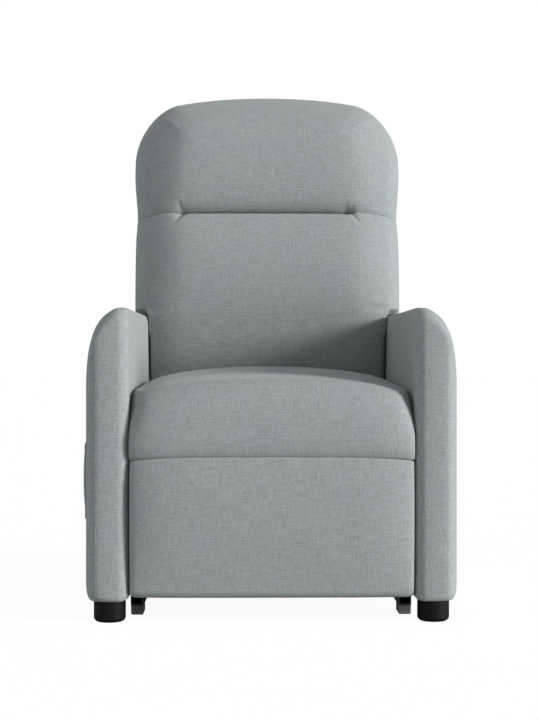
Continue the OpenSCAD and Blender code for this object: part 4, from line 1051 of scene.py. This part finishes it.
def over_the_arms(points):
    """Raises what lies over an arm clear of the arm's shoulder and of the swing about it."""
    x, y, z = np.abs(points[:, 0]), points[:, 1], points[:, 2]
    arm = ARM_HEIGHT - SHOULDER_DROP * quarter(1 - (x - ARM_INNER) / SHOULDER_WIDE)
    shoulder = (arm + SHOULDER_ROOM - SEAT_HEIGHT + y * np.sin(LEAN)) / np.cos(LEAN)
    clear = np.where(x > FULL_OVER, overhang_low(y), np.minimum(shoulder, overhang_low(y)))
    points[:, 2] = np.where(x > BACK_NARROW + 0.6, np.maximum(z, clear), z)
    return points


def back_walls(front, loop, depth, rows):
    """Adds rows of points from the front's edge straight back to depth. Returns all points,
    and the rows' indices."""
    shares = np.linspace(0, 1, rows + 1)[1:]
    walls = np.repeat(front[loop][None], rows, 0)
    walls[..., 1] += (depth - walls[..., 1]) * shares[:, None]
    count = len(front)
    ring = np.concatenate([loop[None], count + np.arange(rows * len(loop)).reshape(rows, -1)])
    return over_the_arms(np.concatenate([front, walls.reshape(-1, 3)])), ring


def make_back():
    """The back cushion's cover: its front, its walls, and a flat rear against the frame."""
    flat, faces, rim, bottom = back_grid()
    front = np.stack([flat[:, 0], back_front(flat, faces), flat[:, 1]], 1)
    loop = np.concatenate([rim, bottom[::-1][1:-1]])
    points, ring = back_walls(front, loop, BACK_DEPTH, 10)
    faces += quads_between(ring, closed=True) + [ring[-1].tolist()]
    cloth = np.zeros((len(points), 2))
    cloth[:, 0] = points[:, 0] + np.sign(points[:, 0]) * points[:, 1] * 0.55
    cloth[:, 1] = points[:, 2] + 0.4 * points[:, 1]
    piece = make_piece("back_cover", leaned(points), faces, cloth, "back", ["back_cushion"])
    recalculate(piece)


OUTER_EDGE_ROUND = 16.0
OUTER_CROWN = 3.0
OUTER_CROWN_WIDE = 60.0
OUTER_SKIN = 2.6


def make_outer_back():
    """The cover behind the frame: one panel sewn to a narrow border, open at its bottom."""
    flat, faces, rim, _ = back_grid()
    gap = distance_to(flat, flat[rim])
    rear = BACK_DEPTH + OUTER_DEPTH
    y = rear - OUTER_EDGE_ROUND * quarter(1 - gap / OUTER_EDGE_ROUND)
    seam = groove(gap - OUTER_EDGE_ROUND - 2, deep=0.6, wide=1.6)
    y = y - seam - OUTER_CROWN * smooth((OUTER_CROWN_WIDE - gap) / OUTER_CROWN_WIDE)
    front = np.stack([flat[:, 0] * (1 - 1 / BACK_HALF), y, flat[:, 1] - 0.6], 1)
    points, ring = back_walls(front, rim, BACK_DEPTH + 0.2, 6)
    faces += quads_between(ring)
    cloth = np.zeros((len(points), 2))
    cloth[:, 0] = points[:, 0] + np.sign(points[:, 0]) * (rear - points[:, 1]) + CUT_OUTER_BACK
    cloth[:, 1] = points[:, 2] + 0.4 * points[:, 1]
    piece = make_piece("outer_back_cover", leaned(points), faces, cloth, "back",
                       ["outer_back"])
    recalculate(piece)
    thicken(piece, OUTER_SKIN)


def thicken(piece, skin):
    """Gives an open skin its thickness, inwards."""
    solid = piece.modifiers.new("skin", "SOLIDIFY")
    solid.thickness = skin * MM
    solid.offset = -1.0


PANEL_ROUND = 5.5


def make_rear_panel():
    """A padded board under the seat's rear: two faces with a round edge."""
    low, high = [np.array(corner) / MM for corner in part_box("rear_panel")]
    steps = np.concatenate([np.linspace(0, 1, 9) ** 2 * 0.02, np.linspace(0.02, 0.5, 22)[1:]])
    steps = np.concatenate([steps, 1 - steps[-2::-1]])
    x, z = np.meshgrid(low[0] + steps * (high[0] - low[0]), low[2] + steps * (high[2] - low[2]))
    gap = np.minimum(np.minimum(x - low[0], high[0] - x), np.minimum(z - low[2], high[2] - z))
    draw = PANEL_ROUND * quarter(1 - gap / PANEL_ROUND) + groove(gap - 7, deep=0.4, wide=1.5)
    draw = np.minimum(draw, 0.5 * (high[1] - low[1]) - 0.01)
    skins = [np.stack([x, y, z], -1).reshape(-1, 3) for y in (low[1] + draw, high[1] - draw)]
    cloth = np.tile(np.stack([x.ravel() + CUT_REAR_PANEL, z.ravel()], 1), (2, 1))
    piece = make_piece("rear_panel_cover", np.concatenate(skins), sheet_faces(*x.shape), cloth,
                       "chassis", ["rear_panel"])
    recalculate(piece)


def recalculate(piece):
    """Turns all faces outwards."""
    mesh = bmesh.new()
    mesh.from_mesh(piece.data)
    bmesh.ops.recalc_face_normals(mesh, faces=mesh.faces)
    mesh.to_mesh(piece.data)
    mesh.free()


# ---------------------------------------------------------------- build

make_arm(-1)
make_arm(1)
make_pocket()
make_cushion("seat_cover", SEAT_HALF, seat_ring, "chassis", "seat_cushion", CUT_SEAT)
make_cushion("footrest_cover", PAD_HALF, pad_ring, "footrest", "footrest_pad", CUT_PAD)
make_back()
make_outer_back()
make_rear_panel()

for name, node in frame["nodes"].items():
    slots = [s["material_slot"] for s in frame["record"]["subparts"] if s["node"] == name]
    if slots:
        material = MATERIALS[slots[0]]
        if name.endswith("_foot"):
            material = FOOT_RUBBER
        elif name == "base_glides":
            material = GLIDE_PLASTIC
        node.data.materials.clear()
        node.data.materials.append(material)

# ---------------------------------------------------------------- floor, light and camera

# Each lamp: the direction its light comes from, its strength, and its angle in degrees
KEY = (Vector((0.877, -0.376, 0.245)), 3.66, 18)
FILL = (Vector((-0.94, -0.33, 0.1)), 0.42, 70)
# The sky's tint, and its strength at the horizon and from SKY_TOP up
SKY = (0.955, 1.0, 1.045)
SKY_LOW = 0.62
SKY_HIGH = 0.24
SKY_TOP = 0.9
ROOM_WHITE = 1.02
FLOOR_HALF = 40.0
FLOOR_WHITE = 0.95
FLOOR_GREY = (0.55, 0.55, 0.55)
FLOOR_SHADOW = (0.08, 0.08, 0.08)
WHITE = (1.0, 1.0, 1.0)
# The camera's place in metres, in front of the chair and half as high, and its turn to the
# left in degrees
CAMERA_PLACE = (-0.048, -3.340, 0.490)
CAMERA_YAW = -0.87
CAMERA_LENS = 52.2


def make_floor():
    """Seen straight on it is white but for the chair's shadow, and to the chair it is grey."""
    mesh = bpy.data.meshes.new("floor")
    r = FLOOR_HALF
    mesh.from_pydata([(-r, -r, 0), (r, -r, 0), (r, r, 0), (-r, r, 0)], [], [(0, 1, 2, 3)])
    floor = bpy.data.objects.new("floor", mesh)
    bpy.context.scene.collection.objects.link(floor)
    material, tree, shader = new_material("pale_floor")
    seen = add(tree, "ShaderNodeLightPath").outputs["Is Camera Ray"]
    grey = add(tree, "ShaderNodeBsdfDiffuse", {"Color": opaque(FLOOR_GREY)})
    glow = add(tree, "ShaderNodeEmission", {"Color": opaque(WHITE), "Strength": FLOOR_WHITE})
    shadow = add(tree, "ShaderNodeBsdfDiffuse", {"Color": opaque(FLOOR_SHADOW)})
    both = add(tree, "ShaderNodeAddShader", {0: glow.outputs[0], 1: shadow.outputs[0]})
    mix = add(tree, "ShaderNodeMixShader", {0: seen, 1: grey.outputs[0], 2: both.outputs[0]})
    tree.links.new(mix.outputs[0], tree.nodes["Material Output"].inputs["Surface"])
    tree.nodes.remove(shader)
    mesh.materials.append(material)


def make_world():
    """Seen straight on, or in a reflection, the room is white. What it gives the chair is a
    soft light that is strongest near the horizon."""
    world = bpy.data.worlds.new("studio")
    bpy.context.scene.world = world
    world.use_nodes = True
    tree = world.node_tree
    background = tree.nodes["Background"]
    background.inputs["Color"].default_value = (*SKY, 1.0)
    direction = add(tree, "ShaderNodeTexCoord").outputs["Generated"]
    height = add(tree, "ShaderNodeSeparateXYZ", {"Vector": direction}).outputs["Z"]
    glow = add(tree, "ShaderNodeMapRange",
               {"Value": height, "From Min": 0.0, "From Max": SKY_TOP,
                "To Min": SKY_LOW, "To Max": SKY_HIGH})
    tree.links.new(glow.outputs[0], background.inputs["Strength"])
    white = add(tree, "ShaderNodeBackground", {"Color": opaque(WHITE), "Strength": ROOM_WHITE})
    path = add(tree, "ShaderNodeLightPath").outputs
    seen = combine(tree, "MAXIMUM", path["Is Camera Ray"], path["Is Glossy Ray"])
    seen = combine(tree, "MAXIMUM", seen, path["Is Transmission Ray"])
    mix = add(tree, "ShaderNodeMixShader",
              {0: seen, 1: background.outputs[0], 2: white.outputs[0]})
    tree.links.new(mix.outputs[0], tree.nodes["World Output"].inputs["Surface"])


def make_light(name, source, energy, angle):
    """A distant lamp toward source, with energy and angle as a sun has them."""
    data = bpy.data.lights.new(name, "SUN")
    data.energy = energy
    data.angle = np.radians(angle)
    light = bpy.data.objects.new(name, data)
    bpy.context.scene.collection.objects.link(light)
    light.rotation_mode = "QUATERNION"
    light.rotation_quaternion = (-source).to_track_quat("-Z", "Y")


def make_camera():
    data = bpy.data.cameras.new("camera")
    data.sensor_fit = "VERTICAL"
    data.sensor_height = 24.0
    data.lens = CAMERA_LENS
    data.clip_end = 100.0
    camera = bpy.data.objects.new("camera", data)
    bpy.context.scene.collection.objects.link(camera)
    camera.location = CAMERA_PLACE
    camera.rotation_euler = (np.pi / 2, 0, np.radians(CAMERA_YAW))
    bpy.context.scene.camera = camera


make_floor()
make_world()
make_light("key", *KEY)
make_light("fill", *FILL)
make_camera()
bpy.context.scene.view_settings.view_transform = "Standard"
